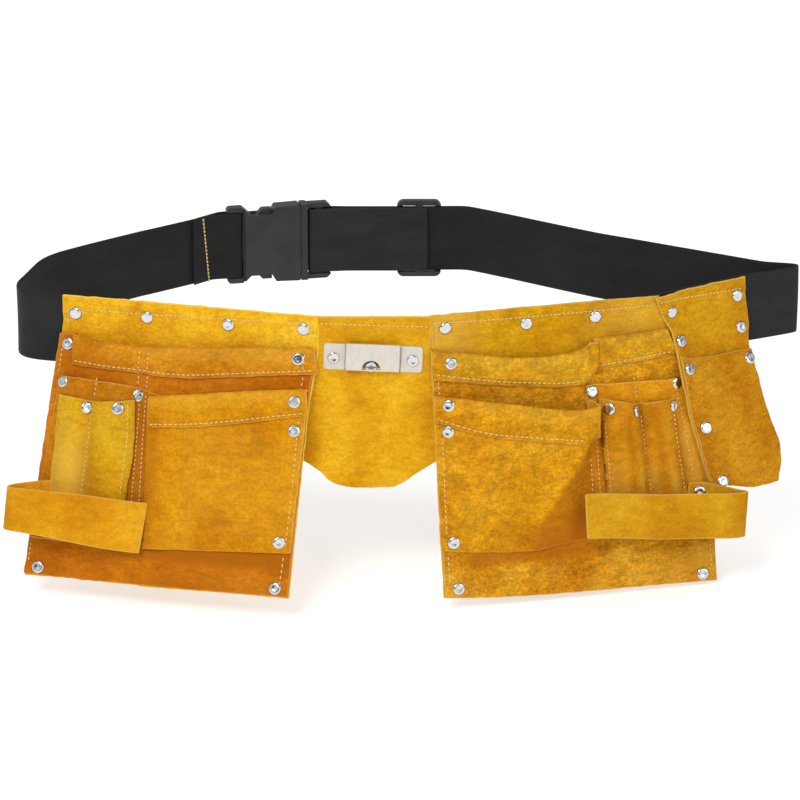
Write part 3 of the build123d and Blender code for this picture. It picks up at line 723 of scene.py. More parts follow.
def sew(thread, face, *seams):
    """Seams are (depth, pitch, lift, points ...) rows."""
    for depth, pitch, lift, *points in seams:
        thread.seam(face, depth, pitch, lift, *points)


# a sheet lying on another, loosely and tightly
LAYER, TIGHT_LAYER = 2.15, 2.1


# ---------------------------------------------------------------- left pouch
def left_back(u, v):
    return -1.0


def left_rear(u, v):
    room = max(hump(8, 59, u, 0.55), hump(65, 178, u, 0.45))
    fall = 1 - smooth(150, 189, v)
    return 1.1 + room * fall * (3.0 + 1.6 * wave(u, v, 48, 1.7))


def left_slots(u, v):
    slots = max(hump(4, 27, u), hump(29, 61, u, 0.7)) * (1 - smooth(150, 168, v))
    return left_rear(u, v) + LAYER + 3.6 * slots


def left_main(u, v):
    rise = smooth(70, 84, u) * smooth(181, 166, u)
    rise *= (0.45 + 0.55 * smooth(60, 125, v)) * (1 - smooth(150, 169, v))
    hollow = 0.5 + 0.5 * wave(u, v, 42, 5.1)
    return left_rear(u, v) + LAYER + 2.1 * smooth(96, 84, u) + rise * (5.0 + 3.2 * hollow)


def left_front(u, v):
    slots = max(hump(5, 29, u), hump(31, 62, u, 0.7))
    return left_slots(u, v) + TIGHT_LAYER + 4.4 * slots * (1 - 0.4 * smooth(120, 160, v))


def left_rear_tone(u, v):
    # painted shadow below the rear hem
    hem_shadow = 0.42 * smooth(66, 50, v) * (1 - 0.4 * smooth(60, 150, u))
    low = 0.35 * smooth(150, 178, v) * (0.6 + wave(u, v, 30, 3.0))
    # painted shadow under the main pocket's bottom edge, then darker towards the sheet's bottom
    under_pocket = 0.85 * smooth(160, 170, v) * smooth(184, 174, v) * smooth(60, 80, u)
    under_pocket += 0.45 * smooth(184, 197, v) * smooth(60, 100, u)
    return hem_shadow + low + under_pocket


def left_slot_tone(u, v):
    return 0.25 + 0.45 * smooth(52, 60, u)


def left_main_tone(u, v):
    clouds = 0.30 * max(0.0, wave(u, v, 38, 7.7))
    return clouds + 0.36 * smooth(104, 74, u) + 0.2 * smooth(156, 168, v) - 0.06


def left_front_tone(u, v):
    clouds = 0.16 * max(0.0, wave(u, v, 40, 9.1)) * smooth(20, 40, u)
    # paler low on the left: painted light where the hammer loop shades the slots
    return clouds - 0.50 * smooth(40, 22, u) * smooth(80, 120, v)


sheet(
    "left_apron", LEFT, left_back, STRIP,
    top=[(0.2, -0.2), (60, -0.8), (120, -0.7), (187, -0.9)],
    right=[(186.6, 23), (185, 45), (183.4, 75)],
    bottom=[(-11.8, 199.1), (30, 198.2), (85, 198.8), (140, 197.4), (182, 197)],
    left=[(0, 23), (-1.6, 40), (-5.5, 90)],
    tone=lambda u, v: 0.20 * smooth(14, 24, v),
    replaces=["left_top_strip", "left_back_panel"],
    bends=True,
)
sheet(
    "left_rear_pocket_suede", LEFT, left_rear, REAR_LEFT,
    top=[(-1.2, 27.7), (7.6, 27), (12, 29.6), (33.5, 33.4), (60, 34.4), (86.1, 32.8), (123.1, 29.8),
         (184.6, 25.6)],
    right=[(184.3, 40), (182.6, 75)],
    bottom=[(-11.4, 198.2), (85, 198), (181.3, 196)],
    left=[(-5, 90)],
    tone=left_rear_tone,
    replaces=["left_rear_pocket"],
)
hem(
    "left_rear_hem", LEFT, left_rear, REAR_LEFT_HEM,
    top=[(9.6, 29), (17.8, 31.6), (33.5, 33.6), (56.9, 34.6), (79.9, 33.2), (110.5, 30.9), (140.9, 28.4),
         (185.6, 25)],
    bottom=[(10.9, 48.2), (20.1, 49.2), (35.7, 49.8), (57.5, 50.3), (76.2, 51.4), (97.7, 51), (128.1, 47.4),
            (188.2, 40)],
    # the hem's colour is darker towards its left end
    tone_shift=lambda u: 0.30 * smooth(75, 25, u),
)
sheet(
    "left_tool_slots_rear_suede", LEFT, left_slots, REAR_LEFT_HEM,
    top=[(2.6, 57.4), (18.5, 58.4), (31.1, 59.2), (46.6, 59.8), (59.2, 61), (68.7, 63.5), (86, 67)],
    right=[(87, 100)],
    bottom=[(-8, 172.5), (40, 172.7), (86, 168)],
    left=[(-2.5, 110)],
    tone=left_slot_tone,
    replaces=["left_main_pocket"],
)
sheet(
    "left_main_pocket_suede", LEFT, left_main, MAIN_LEFT,
    top=[(69, 68.6), (85.7, 67.2), (116, 62.8), (146.2, 58.5), (182, 54.2)],
    right=[(183.2, 75), (182, 120)],
    bottom=[(75.5, 172.2), (100, 170.8), (136.5, 168.4), (181.2, 165.6)],
    left=[(71, 90), (74.4, 138.9)],
    tone=left_main_tone,
)
hem(
    "left_main_hem", LEFT, left_main, MAIN_LEFT,
    top=[(70.4, 68.9), (85.7, 67.2), (116, 62.8), (146.2, 58.5), (182.6, 53.9)],
    bottom=[(71.6, 87.6), (95.2, 85.8), (117.9, 82.8), (148, 77.1), (184.9, 69.6)],
)
sheet(
    "left_tool_slots_suede", LEFT, left_front, SLOT_LEFT,
    top=[(4.4, 70.8), (18.8, 72.3), (32.8, 73.6), (49.8, 72.4), (59.8, 69.8)],
    right=[(61.4, 100), (60.6, 120)],
    bottom=[(2, 160), (58, 160)],
    left=[(3.5, 101)],
    tone=left_front_tone,
    replaces=["left_tool_slots"],
)
strap_loop(
    "left_hammer_loop_suede", LEFT, LOOP_LEFT,
    path=[(9, 5.9), (2, 5.7), (-8, 5.6), (-15.5, 7), (-20.6, 11), (-22.8, 17), (-21.2, 23), (-15, 27.2),
          (-4, 29), (18, 27.6), (40, 24), (56, 18.6), (67, 13.8), (77.4, 11.6)],
    top=lambda f: 131.6 + 7.4 * smooth(0.0, 0.36, f) + 2.0 * smooth(0.6, 1.0, f),
    bottom=lambda f: 163.5 + 5.0 * smooth(0.0, 0.36, f) + 7.2 * smooth(0.3, 1.0, f),
    lean=lambda f: -3.2 * smooth(0.3, 1.0, f),
    replaces=["left_hammer_loop"],
)


def over_hem(depth, end):
    """Depth for a seam that starts on a hem and runs on below it, past v = end."""
    return lambda u, v: depth(u, v) + (2.4 if v < end else 0.0)


sew(
    belt_thread, LEFT,
    (left_back, 3.4, 1.0, (5, 8.6), (60, 8.2), (120, 6.6), (150, 5.6), (184, 4.6)),
    (left_back, 3.4, 1.0, (4.4, 9), (3.8, 23)),
    (left_back, 3.4, 1.0, (181, 6.5), (179.6, 19.8)),
)
sew(
    left_thread, LEFT,
    (left_rear, 3.6, 1.0, (1.6, 38), (0.4, 56)),
    (left_rear, 3.6, 1.0, (-8.2, 176), (-8.8, 190)),
    (over_hem(left_rear, 48), 3.6, 1.0, (178.9, 27), (178.3, 40)),
    (left_rear, 3.8, 1.0, (178.3, 43), (177.6, 55)),
    (left_rear, 3.8, 1.0, (176.5, 169), (175.2, 190)),
    (left_main, 3.8, 1.0, (178.6, 74), (178.6, 120), (177.6, 162)),
    (left_rear, 3.8, 3.4, (12.2, 46.2), (35.7, 48), (57.5, 48.5), (76.2, 49.4), (97.7, 49),
     (128.1, 45.4), (185.6, 38.2)),
    (left_main, 3.8, 3.4, (73.6, 85.8), (95.2, 83.9), (117.9, 80.9), (148, 75.2), (182.6, 68.2)),
    (left_slots, 3.4, 1.0, (31.2, 56.5), (30.4, 70.5)),
    (left_front, 3.4, 1.0, (30.6, 74.5), (29.6, 98.7), (28, 138)),
    (left_slots, 3.4, 1.0, (62.6, 72.1), (63.1, 104.6), (63.4, 168)),
    (left_slots, 3.4, 1.0, (67, 66), (68, 104), (70.6, 168)),
    (over_hem(left_rear, 50), 3.4, 1.0, (59.2, 35.5), (59.6, 59.5)),
    (over_hem(left_rear, 50), 3.4, 1.0, (65.9, 35.5), (66.3, 62)),
    (left_front, 3.4, 1.0, (56.4, 73), (57.8, 100), (56.6, 137)),
)
left_caps = rivets(LEFT, POUCH_REAR, (
    (5.4, 34.6, left_rear, 1.0, True),
    (174.4, 31.0, left_rear, 2.7, True),
    (175.3, 61.0, left_main, 2.7, True),
    (176.6, 81.0, left_main, 1.0, True),
    (173.5, 159.0, left_main, 1.0, True),
    (5.5, 61.4, left_slots, 1.0, True),
    (61.0, 66.6, left_slots, 1.0, True),
    (26.6, 78.3, left_front, 1.0, False),
    (50.6, 76.9, left_front, 1.0, False),
    (-1.4, 193.0, left_rear, 1.0, True),
    (172.3, 191.0, left_rear, 1.0, True),
    (-1.0, 152.0, flat(5.7), 1.0, True),
))
studs("left_pouch_caps", left_caps, "left_pouch", "left_pouch_rivets")


# ---------------------------------------------------------------- right pouch
def along(table, x):
    """Value at x of a line through (x, value) pairs."""
    if x <= table[0][0]:
        return table[0][1]
    for (x0, y0), (x1, y1) in zip(table, table[1:]):
        if x <= x1:
            return y0 + (y1 - y0) * (x - x0) / (x1 - x0)
    return table[-1][1]


# the right main pocket's folded edge, its seam and how far it stands out: (v, value) pairs
CREASE = [(90, 117), (99, 106.5), (115.7, 98), (133.4, 84), (149.8, 72.5), (170, 67)]
SEAM = [(90, 119), (99, 111), (121, 112.6), (135, 113.5), (170, 110)]
HEIGHT = [(56, 10), (90, 11.5), (110, 9.5), (140, 6.5), (154, 4), (167, 0)]


def bell(x, width):
    return math.exp(-((x / width) ** 2))


def right_back(u, v):
    """Follows the belt's bend where it passes under the holster."""
    return -1.0 - 0.10 * max(0.0, u - 165) * (1 - smooth(23, 60, v))


def right_rear(u, v):
    room = max(hump(6, 118, u, 0.5), 0.8 * hump(122, 178, u, 0.6))
    fall = 1 - smooth(150, 190, v)
    return 1.1 + room * fall * (3.6 + 2.2 * wave(u, v, 42, 11.7))


def right_main(u, v):
    fold, seam = along(CREASE, v), along(SEAM, v)
    past = max(0.0, min(1.0, (u - fold) / (seam - fold)))
    left_rise = smooth(3, 40, u) ** 0.8
    ridge = 1.2 * bell(u - fold + 3, 5.0) * smooth(92, 104, v) * smooth(166, 150, v)
    folds = 0.8 * wave(u * 1.6, v * 0.5, 30, 2.9) * left_rise * smooth(168, 140, v)
    high = along(HEIGHT, v) * left_rise * (1 - past) ** 1.5
    return right_rear(u, v) + LAYER + high + (ridge + folds) * (1 - past)


def right_slot(u, v):
    lean = (v - 60) * 0.095
    slots = max(hump(121 + lean * 0.4, 146 + lean, u, 0.7), hump(148 + lean, 176 + lean, u, 0.7))
    return right_rear(u, v) + LAYER + 3.2 * slots * (1 - smooth(150, 168, v))


def front_slots(u, v):
    """Outward lean of the right front slots at v, and how far u lies past each one's left edge."""
    lean = (v - 60) * 0.09
    return lean, u - lean * 0.4 - 119, u - lean - 147


def right_front(u, v):
    lean, left, right = front_slots(u, v)
    slots = max(hump(0, 27 + lean * 0.5, left, 0.5), hump(0, 26, right, 0.5))
    creases = 1.5 * bell(left - 18, 2.6) + 1.7 * bell(right - 9, 2.4) + 1.2 * bell(right - 22, 2.2)
    depth = 5.0 * slots - creases * smooth(74, 90, v)
    return right_slot(u, v) + TIGHT_LAYER + max(0.0, depth) * (1 - 0.4 * smooth(120, 160, v))


def right_rear_tone(u, v):
    shaded = 0.16 * smooth(72, 52, v) * smooth(112, 70, u) * (0.8 + 0.5 * wave(u, v, 16, 2.0))
    pale = 0.18 * smooth(150, 176, v) * (0.9 + 1.2 * wave(u, v, 20, 6.0))
    # painted shadow under the main pocket's bottom edge
    under_pocket = 0.25 + 0.65 * smooth(10, 25, u) * smooth(125, 95, u)
    under_pocket *= smooth(164, 170, v) * smooth(184, 174, v)
    lower = 0.16 * smooth(15, 35, u) * smooth(120, 90, u) * smooth(170, 180, v)
    return shaded - pale + under_pocket + lower


def right_main_tone(u, v):
    # darker past the crease: painted shade of the fold, partly the suede's own darker tone
    past = max(0.0, (u - along(CREASE, v) + 7) / 34)
    clouds = 0.35 * max(0.0, wave(u, v, 34, 1.3))
    low = 0.25 * smooth(140, 164, v) * smooth(30, 60, u)
    return 0.62 * smooth(0, 0.30, past) + clouds + low - 0.05


def right_front_tone(u, v):
    """Painted shade down the creases of the slots."""
    _, left, right = front_slots(u, v)
    dark = 0.5 * bell(left - 18, 3.0) + 0.55 * bell(right - 9, 2.8)
    dark += 0.4 * bell(right - 22, 2.6) + 0.4 * bell(left - 27, 2.0)
    clouds = 0.1 * max(0.0, wave(u * 2.5, v * 0.6, 24, 4.4))
    return dark * smooth(72, 84, v) + clouds - 0.25 * smooth(100, 135, v)


sheet(
    "right_apron", RIGHT, right_back, STRIP_RIGHT,
    top=[(-0.6, -0.8), (60, -0.8), (120, -0.8), (167.5, 0)],
    right=[(173.5, 14), (176, 25), (179, 40), (187, 70), (195, 105), (200, 140)],
    bottom=[(0.5, 199.6), (53, 203.6), (107, 205.4), (161, 206.4), (201.6, 207.7)],
    left=[(0.6, 23), (0.6, 165)],
    tone=lambda u, v: -0.42 * smooth(50, 10, u) - 0.26 * smooth(95, 140, u),
    replaces=["right_top_strip", "right_back_panel"],
    bends=True,
)
sheet(
    "right_rear_pocket_suede", RIGHT, right_rear, REAR_RIGHT,
    top=[(0.2, 26.6), (26, 31.4), (60.3, 37), (93.3, 38.6), (112, 36.2), (118, 31), (125, 28.8),
         (172.6, 27.1)],
    right=[(181, 47), (190, 79), (198, 115), (201, 140)],
    bottom=[(1, 199), (53, 203), (107, 204.8), (161, 205.8), (201.2, 206.9)],
    left=[(1.4, 110)],
    tone=right_rear_tone,
    replaces=["right_rear_pocket"],
)
hem(
    "right_rear_hem", RIGHT, lambda u, v: right_rear(u, v) + 1.6 * smooth(96, 114, u), HEM_RIGHT,
    top=[(-0.2, 26.2), (26, 31.1), (60.3, 37), (93.3, 38), (111.2, 34.4), (118.6, 30.8)],
    bottom=[(-0.5, 44.4), (24.7, 48.2), (59.1, 53.6), (94, 57.2), (110.5, 55.6), (118.4, 47.6)],
)
strap_loop(
    "right_rear_hem_roll", RIGHT, HEM_RIGHT,
    path=[(106, 3.6), (110, 5), (114.5, 6.4), (118.4, 6.8), (120.2, 5.6), (119.4, 3.8), (115, 2.6)],
    top=lambda f: 35.4 - 6.6 * smooth(0.0, 0.45, f),
    bottom=lambda f: 49.0 - 4.0 * f,
    lean=lambda f: -1.5 * f,
    rows=10,
    lumpy=0.2,
)
hem(
    "right_rear_hem_outer", RIGHT, right_rear, HEM_RIGHT,
    top=[(119, 28.4), (141.1, 27.9), (158, 27), (173.2, 26.4)],
    bottom=[(121.4, 46.6), (139.9, 45), (158.3, 43.4), (178.6, 41.6)],
)
sheet(
    "right_tool_slots_rear_suede", RIGHT, right_slot, BAND_RIGHT,
    top=[(111, 58.6), (131.7, 58.5), (144.2, 58.7), (158.6, 59.3), (181.5, 60.2)],
    right=[(188, 79), (195, 110), (198.5, 140)],
    bottom=[(109, 163), (150, 164), (199, 164)],
    left=[(110, 110)],
    # paler right of u 172: painted light where the holster shades the band
    tone=lambda u, v: 0.10 + 0.25 * smooth(122, 116, u) - 0.35 * smooth(172, 180, u) * smooth(76, 100, v),
    replaces=["right_tool_slots_rear"],
)
sheet(
    "right_main_pocket_suede", RIGHT, right_main, MAIN_RIGHT,
    top=[(-0.4, 58.6), (22.2, 62.5), (55.8, 68.6), (83.5, 74.4), (104.5, 76.9), (115.4, 75.8)],
    right=[(115, 88), (110.8, 100), (112.2, 121), (113.2, 135)],
    bottom=[(-1, 165.1), (26.8, 168.4), (53.3, 170.6), (71.1, 171), (89.4, 168.2), (109.5, 166.4)],
    left=[(-0.6, 110)],
    tone=right_main_tone,
    replaces=["right_main_pocket"],
)
hem(
    "right_main_hem", RIGHT, right_main, MAIN_RIGHT,
    top=[(-0.6, 58.2), (22.2, 62.2), (55.8, 68.3), (83.5, 74.2), (104.5, 76.6), (115.8, 75.2)],
    bottom=[(-1.3, 73.8), (29.7, 84.3), (54.7, 89.3), (82.1, 93.9), (102, 97.2), (113.8, 90.6)],
)
strap_loop(
    "right_main_hem_roll", RIGHT, MAIN_RIGHT,
    path=[(105, 11), (109.5, 14.2), (113.6, 15.4), (116.6, 14.2), (117.2, 12), (114.6, 10.4),
          (110.4, 9.8)],
    top=lambda f: 76.2 - 8.0 * smooth(0.4, 1.0, f),
    bottom=lambda f: 92.5 + 3.0 * f,
    lean=lambda f: -2.5 * f,
    rows=10,
    lumpy=0.2,
)
sheet(
    "right_tool_slots_front_suede", RIGHT, right_front, SLOT_RIGHT,
    top=[(118.4, 68.6), (130.6, 70.4), (145.1, 73.9), (158.2, 73), (173, 72.6)],
    right=[(175.6, 99), (180.5, 140.9)],
    bottom=[(121, 160), (183, 160)],
    left=[(119.7, 93.7), (121, 135)],
    tone=right_front_tone,
    replaces=["right_tool_slots_front"],
)


def loop_edge(start, drop, climb):
    """v along an edge of the right loop: down into its bend, then back up to its inner end."""
    def v(f):
        bent = start + drop * smooth(0.04, 0.27, f) - 4.2 * smooth(0.27, 0.62, f)
        return bent - climb * smooth(0.55, 1.0, f)
    return v


strap_loop(
    "right_hammer_loop_suede", RIGHT, LOOP_RIGHT,
    path=[(181, 8.8), (190, 9.2), (204, 10.6), (213, 13.2), (218.6, 16.2), (220.8, 19), (219, 22),
          (211, 25), (192, 27), (170, 27.4), (140, 25.4), (118, 22.4), (101.2, 20.2)],
    top=loop_edge(134.6, 8.0, 5.4),
    bottom=loop_edge(165.6, 8.4, 5.6),
    lean=lambda f: -4.6 * smooth(0.5, 0.2, f),
    replaces=["right_hammer_loop"],
)

sew(
    belt_thread, RIGHT,
    (right_back, 3.4, 1.0, (3, 4.6), (60, 6), (120, 6.2), (164, 5.8)),
    (right_back, 3.4, 1.0, (4.8, 5.5), (4.2, 23)),
)
sew(
    right_thread, RIGHT,
    (right_rear, 3.8, 3.9, (2.6, 41), (42.1, 48.6), (76.6, 53), (96, 55), (110.2, 53.8)),
    (right_rear, 3.8, 3.4, (123, 44.8), (139.9, 43.2), (158.3, 41.6), (175, 40)),
    (right_main, 3.8, 3.4, (2.6, 72.6), (29.7, 82.2), (54.7, 87.2), (82.1, 91.8), (103, 95)),
    (right_main, 3.8, 1.0, (4, 88), (3.9, 110), (3.4, 155)),
    (right_rear, 3.8, 1.0, (4.2, 46), (4.2, 57)),
    (right_rear, 3.8, 1.0, (4.2, 170), (4.6, 190)),
    (right_rear, 3.8, 1.0, (197.4, 180), (197.8, 198)),
    (right_main, 3.4, 1.0, (110.4, 110), (110.8, 121), (111.2, 135)),
    (right_slot, 3.4, 1.0, (115.4, 82), (116.2, 110), (117.2, 150)),
    (right_front, 3.4, 1.0, (121.4, 72), (122.4, 94), (123.6, 136)),
    (right_slot, 3.2, 1.0, (145, 55.6), (146.6, 71)),
    (right_front, 3.4, 1.0, (146.6, 75.5), (149.4, 105), (152.6, 138)),
    (right_front, 3.4, 1.0, (170.6, 76.5), (173.6, 108), (177.6, 142)),
    (right_slot, 3.6, 1.0, (176.5, 66), (181, 90), (187, 135)),
)
right_caps = rivets(RIGHT, POUCH_REAR, (
    (13.2, 34.0, right_rear, 2.7, True),
    (8.8, 62.9, right_main, 2.7, True),
    (8.0, 81.5, right_main, 1.0, True),
    (8.0, 160.2, right_main, 1.0, True),
    (114.6, 63.0, right_slot, 1.0, True),
    (124.3, 75.4, right_front, 1.0, False),
    (144.6, 78.9, right_front, 1.0, True),
    (171.4, 77.6, right_front, 1.0, False),
    (177.8, 62.9, right_slot, 1.0, True),
    (10.6, 193.6, right_rear, 1.0, True),
    (190.9, 201.4, right_rear, 1.0, True),
    (188.8, 140.9, flat(9.0), 1.0, True),
))
studs("right_pouch_caps", right_caps, "right_pouch", "right_pouch_rivets")


# ---------------------------------------------------------------- holster
def holster_back(u, v):
    """Lies over the right pouch at its inner edge, then falls back to its own plane."""
    top = 3.6 * smooth(28, 3, u)
    low = (8.0 - 5.5 * smooth(60, 100, v) - 2.0 * smooth(100, 135, v)) * smooth(50, 8, u)
    return -1.0 + top * (1 - smooth(14, 30, v)) + low * smooth(14, 30, v)


def holster_front(u, v):
    edge = 19 + (v - 47) * 0.08
    room = hump(edge, 92, u, 0.6) * smooth(47, 76, v) * (1 - 0.85 * smooth(126, 150, v))
    lip = 2.2 * hump(26, 80, u) * (1 - smooth(47, 64, v))
    return holster_back(u, v) + 1.7 + 6.0 * room + lip + 0.9 * wave(u, v * 0.6, 22, 4.7) * room


sheet(
    "holster_back_suede", HOLSTER, holster_back, HOLSTER_TOP,
    top=[(-0.6, 0.4), (40, 0.2), (81.2, 0.5)],
    right=[(82.2, 12), (83, 28.7), (79, 50), (77, 70), (78.2, 90), (80.8, 106), (84.2, 120),
           (83, 135)],
    bottom=[(21, 138), (38.9, 143.6), (57, 148.2), (78.6, 148.6)],
    left=[(7.2, 17.3), (10.3, 33), (11, 67.9), (14.9, 96.5), (18.4, 118.1)],
    tone=lambda u, v: 0.18 * max(0.0, wave(u, v, 30, 8.0)) + 0.15 * smooth(30, 46, v),
    replaces=["holster_top_strip", "holster_back"],
    bends=True,
)
sheet(
    "holster_pocket_suede", HOLSTER, holster_front, HOLSTER_SUEDE,
    top=[(12.2, 45.6), (19.3, 49.4), (38.1, 51.4), (56.9, 52), (78.9, 52.6)],
    right=[(77.4, 70), (78.5, 90), (81.1, 106), (84.6, 120), (83.4, 135)],
    bottom=[(21.2, 138.6), (38.9, 144.2), (57, 148.8), (79, 149.2)],
    left=[(12.4, 67.9), (15.6, 96.5), (18.9, 118.1)],
    tone=lambda u, v: 0.35 * max(0.0, wave(u, v, 26, 5.5)) - 0.05,
    replaces=["holster_pocket"],
)
sew(belt_thread, HOLSTER, (holster_back, 3.4, 1.0, (3, 4), (40, 6.4), (79, 8.4)))
holster_caps = rivets(HOLSTER, lambda u, v: holster_back(u, v) - 1, (
    (16.4, 36.0, holster_back, 1.0, True),
    (75.0, 36.2, holster_back, 1.0, True),
    (17.8, 56.6, holster_front, 1.0, True),
    (74.6, 59.0, holster_front, 1.0, True),
    (24.4, 99.9, holster_front, 1.0, True),
    (30.4, 139.6, holster_front, 1.0, True),
))
studs("holster_caps", holster_caps, "right_pouch", "holster_rivets")


# ---------------------------------------------------------------- centre panel and clip
def centre_depth(u, v):
    return -1.0 + 0.5 * wave(u, v, 40, 2.2) * smooth(45, 80, v)


sheet(
    "centre_panel_suede", CENTRE, centre_depth, CENTRE_SUEDE,
    top=[(-0.4, -0.9), (40, -0.7), (78.4, -0.9)],
    right=[(77.2, 23), (79.5, 60)],
    bottom=[(-11.5, 103), (0, 111), (9, 119.4), (20, 122.6), (38, 123.4), (52, 122.4), (60, 119), (71, 111),
            (84, 103)],
    left=[(-2, 23), (-7.5, 60)],
    tone=lambda u, v: 0.18 * smooth(30, 12, v),
    replaces=["centre_panel"],
)
sew(belt_thread, CENTRE, (centre_depth, 3.4, 1.0, (1, 4), (40, 5.4), (77, 6.4)))

CLIP_TURN = radians(2.4)
CLIP_MIDDLE = (37.6, 29)


def clip_at(x, y, z):
    """Point on the clip: x along it from its middle, y down from its middle, z off the panel."""
    u = CLIP_MIDDLE[0] + x * cos(CLIP_TURN) - y * sin(CLIP_TURN)
    v = CLIP_MIDDLE[1] + y * cos(CLIP_TURN) + x * sin(CLIP_TURN)
    return CENTRE.at(u, v, z)


def plate(outline, z, thick, verts, faces, uvs):
    """Flat plate with rolled front edges, from z up to z + thick."""
    start, size = len(verts), len(outline)
    steps = ((0.0, 0.0), (0.0, thick - 0.3), (0.09, thick - 0.09), (0.35, thick))
    for inset, height in steps:
        for k, (x, y) in enumerate(outline):
            a, b = Vector(outline[k - 1]), Vector(outline[(k + 1) % size])
            way = (b - a).normalized()
            px, py = x - way.y * inset, y + way.x * inset
            verts.append(clip_at(px, py, z + height))
            uvs.append((px / 100, py / 100))
    faces += skin(start, len(steps), size)
    top = start + (len(steps) - 1) * size
    faces.append(tuple(range(top, top + size)))
    faces.append(tuple(range(start, start + size))[::-1])


def box_outline(x0, x1, y0, y1, r, corners):
    """Rounded rectangle, clockwise as seen from the front; corners say which of the four are round."""
    out = []
    spots = ((x0, y0, 180), (x1, y0, 270), (x1, y1, 0), (x0, y1, 90))
    for (x, y, start), use in zip(spots, corners):
        rad = r if use else 0.15
        cx = x + rad if x == x0 else x - rad
        cy = y + rad if y == y0 else y - rad
        for k in range(7):
            ang = radians(start + 90 * k / 6)
            out.append((cx + rad * cos(ang), cy + rad * sin(ang)))
    return out


ALL = (1, 1, 1, 1)
CLIP_PLATES = (  # x and y limits, corner radius, rounded corners, z, thickness
    ((-34.2, -19.3, -9.5, 9.3), 2.6, (1, 0, 0, 1), 0.0, 1.1),  # left ear
    ((19.4, 34.6, -9.5, 9.3), 2.6, (0, 1, 1, 0), 0.0, 1.1),  # right ear
    ((-18.4, 18.5, -11.2, 8.4), 0.6, ALL, 4.2, 1.2),  # bridge
    ((-19.2, 19.3, -9.4, 8.0), 0.3, ALL, 0.0, 0.6),  # base behind the bridge
    ((-18.8, -17.2, -9.6, 7.8), 0.4, ALL, 0.2, 4.6),  # left riser
    ((17.0, 18.6, -9.6, 7.8), 0.4, ALL, 0.2, 4.6),  # right riser
)
verts, faces, uvs = [], [], []
for limits, radius, corners, z, thick in CLIP_PLATES:
    plate(box_outline(*limits, radius, corners), z, thick, verts, faces, uvs)
clip = make_mesh("tape_clip_plate", verts, faces, uvs, STEEL)

# a half-round notch through the bridge's lower edge, open downwards
NOTCH_RADIUS = 6.6
notch_middle = clip_at(-0.8, 7.4, 4.8)
dish_verts, dish_faces = lathe([(0.05, -8), (NOTCH_RADIUS, -8), (NOTCH_RADIUS, 8), (0.05, 8)], 40)
shifts = [CENTRE.u * p.x - CENTRE.down * max(0.0, p.y) + CENTRE.m * p.z for p in dish_verts]
dish = bpy.data.meshes.new("dish")
dish.from_pydata([tuple((notch_middle + shift) * MM) for shift in shifts], [], dish_faces)
cutter = place("dish", dish)
cut = clip.modifiers.new("notch", "BOOLEAN")
cut.object = cutter
cut.operation = "DIFFERENCE"
cut.solver = "EXACT"
bpy.context.view_layer.update()
carved = bpy.data.meshes.new_from_object(clip.evaluated_get(bpy.context.evaluated_depsgraph_get()))
clip.modifiers.clear()
clip.data = carved
bpy.data.objects.remove(cutter)
clip.data.polygons.foreach_set("use_smooth", [False] * len(clip.data.polygons))
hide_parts("tape_clip")
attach(clip, "belt")

MOULDED_EDGE = 0.9 * MM
for name in ("buckle_socket", "buckle_plug", "prong_upper", "prong_lower", "tri_glide"):
    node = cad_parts[name]
    node.data.materials.clear()
    node.data.materials.append(PLASTIC)
    bevel = node.modifiers.new("edges", "BEVEL")
    bevel.width = MOULDED_EDGE
    bevel.segments = 3
    bevel.limit_method = "ANGLE"
    bevel.angle_limit = radians(35)
    bevel.harden_normals = True
    node.data.polygons.foreach_set("use_smooth", [True] * len(node.data.polygons))

strip_caps = []
for face, depth, places in (
    (LEFT, flat(-1.0), [(9.5, 12.3), (62.3, 10.8), (121.7, 10.8), (176.1, 9.2)]),
    (RIGHT, flat(-1.0), [(11.1, 8.9), (69.9, 11), (120.5, 10.6)]),
    (HOLSTER, holster_back, [(14.8, 13.7), (74.6, 13)]),
):
    for u, v in places:
        strip_caps += [cap_at(face, u, v, depth), back_at(face, u, v, BELT_REAR)]
studs("top_row_caps", strip_caps, "belt", "top_row_rivets")
CLIP_RIVETS = ((10.3, 28.7, 0.5, FLAT), (65.3, 31.0, 0.5, FLAT), (36.4, 35.0, -0.4, CAP))
clip_caps = [cap_at(CENTRE, u, v, flat(z), 1.0, profile) for u, v, z, profile in CLIP_RIVETS]
clip_caps += [back_at(CENTRE, u, v, CLIP_REAR) for u, v, _, _ in CLIP_RIVETS]
studs("tape_clip_caps", clip_caps, "belt", "tape_clip_rivets")

# ---------------------------------------------------------------- webbing
STRAP_THICK = 1.5
BUCKLE_YAW = radians(12.0)
BUCKLE = Vector((-81, 134))
BX = Vector((cos(BUCKLE_YAW), sin(BUCKLE_YAW)))
BZ = Vector((sin(BUCKLE_YAW), -cos(BUCKLE_YAW)))


def spot(x, z):
    """Plan-view point x along the buckle and z off its middle plane."""
    return BUCKLE + BX * x + BZ * z


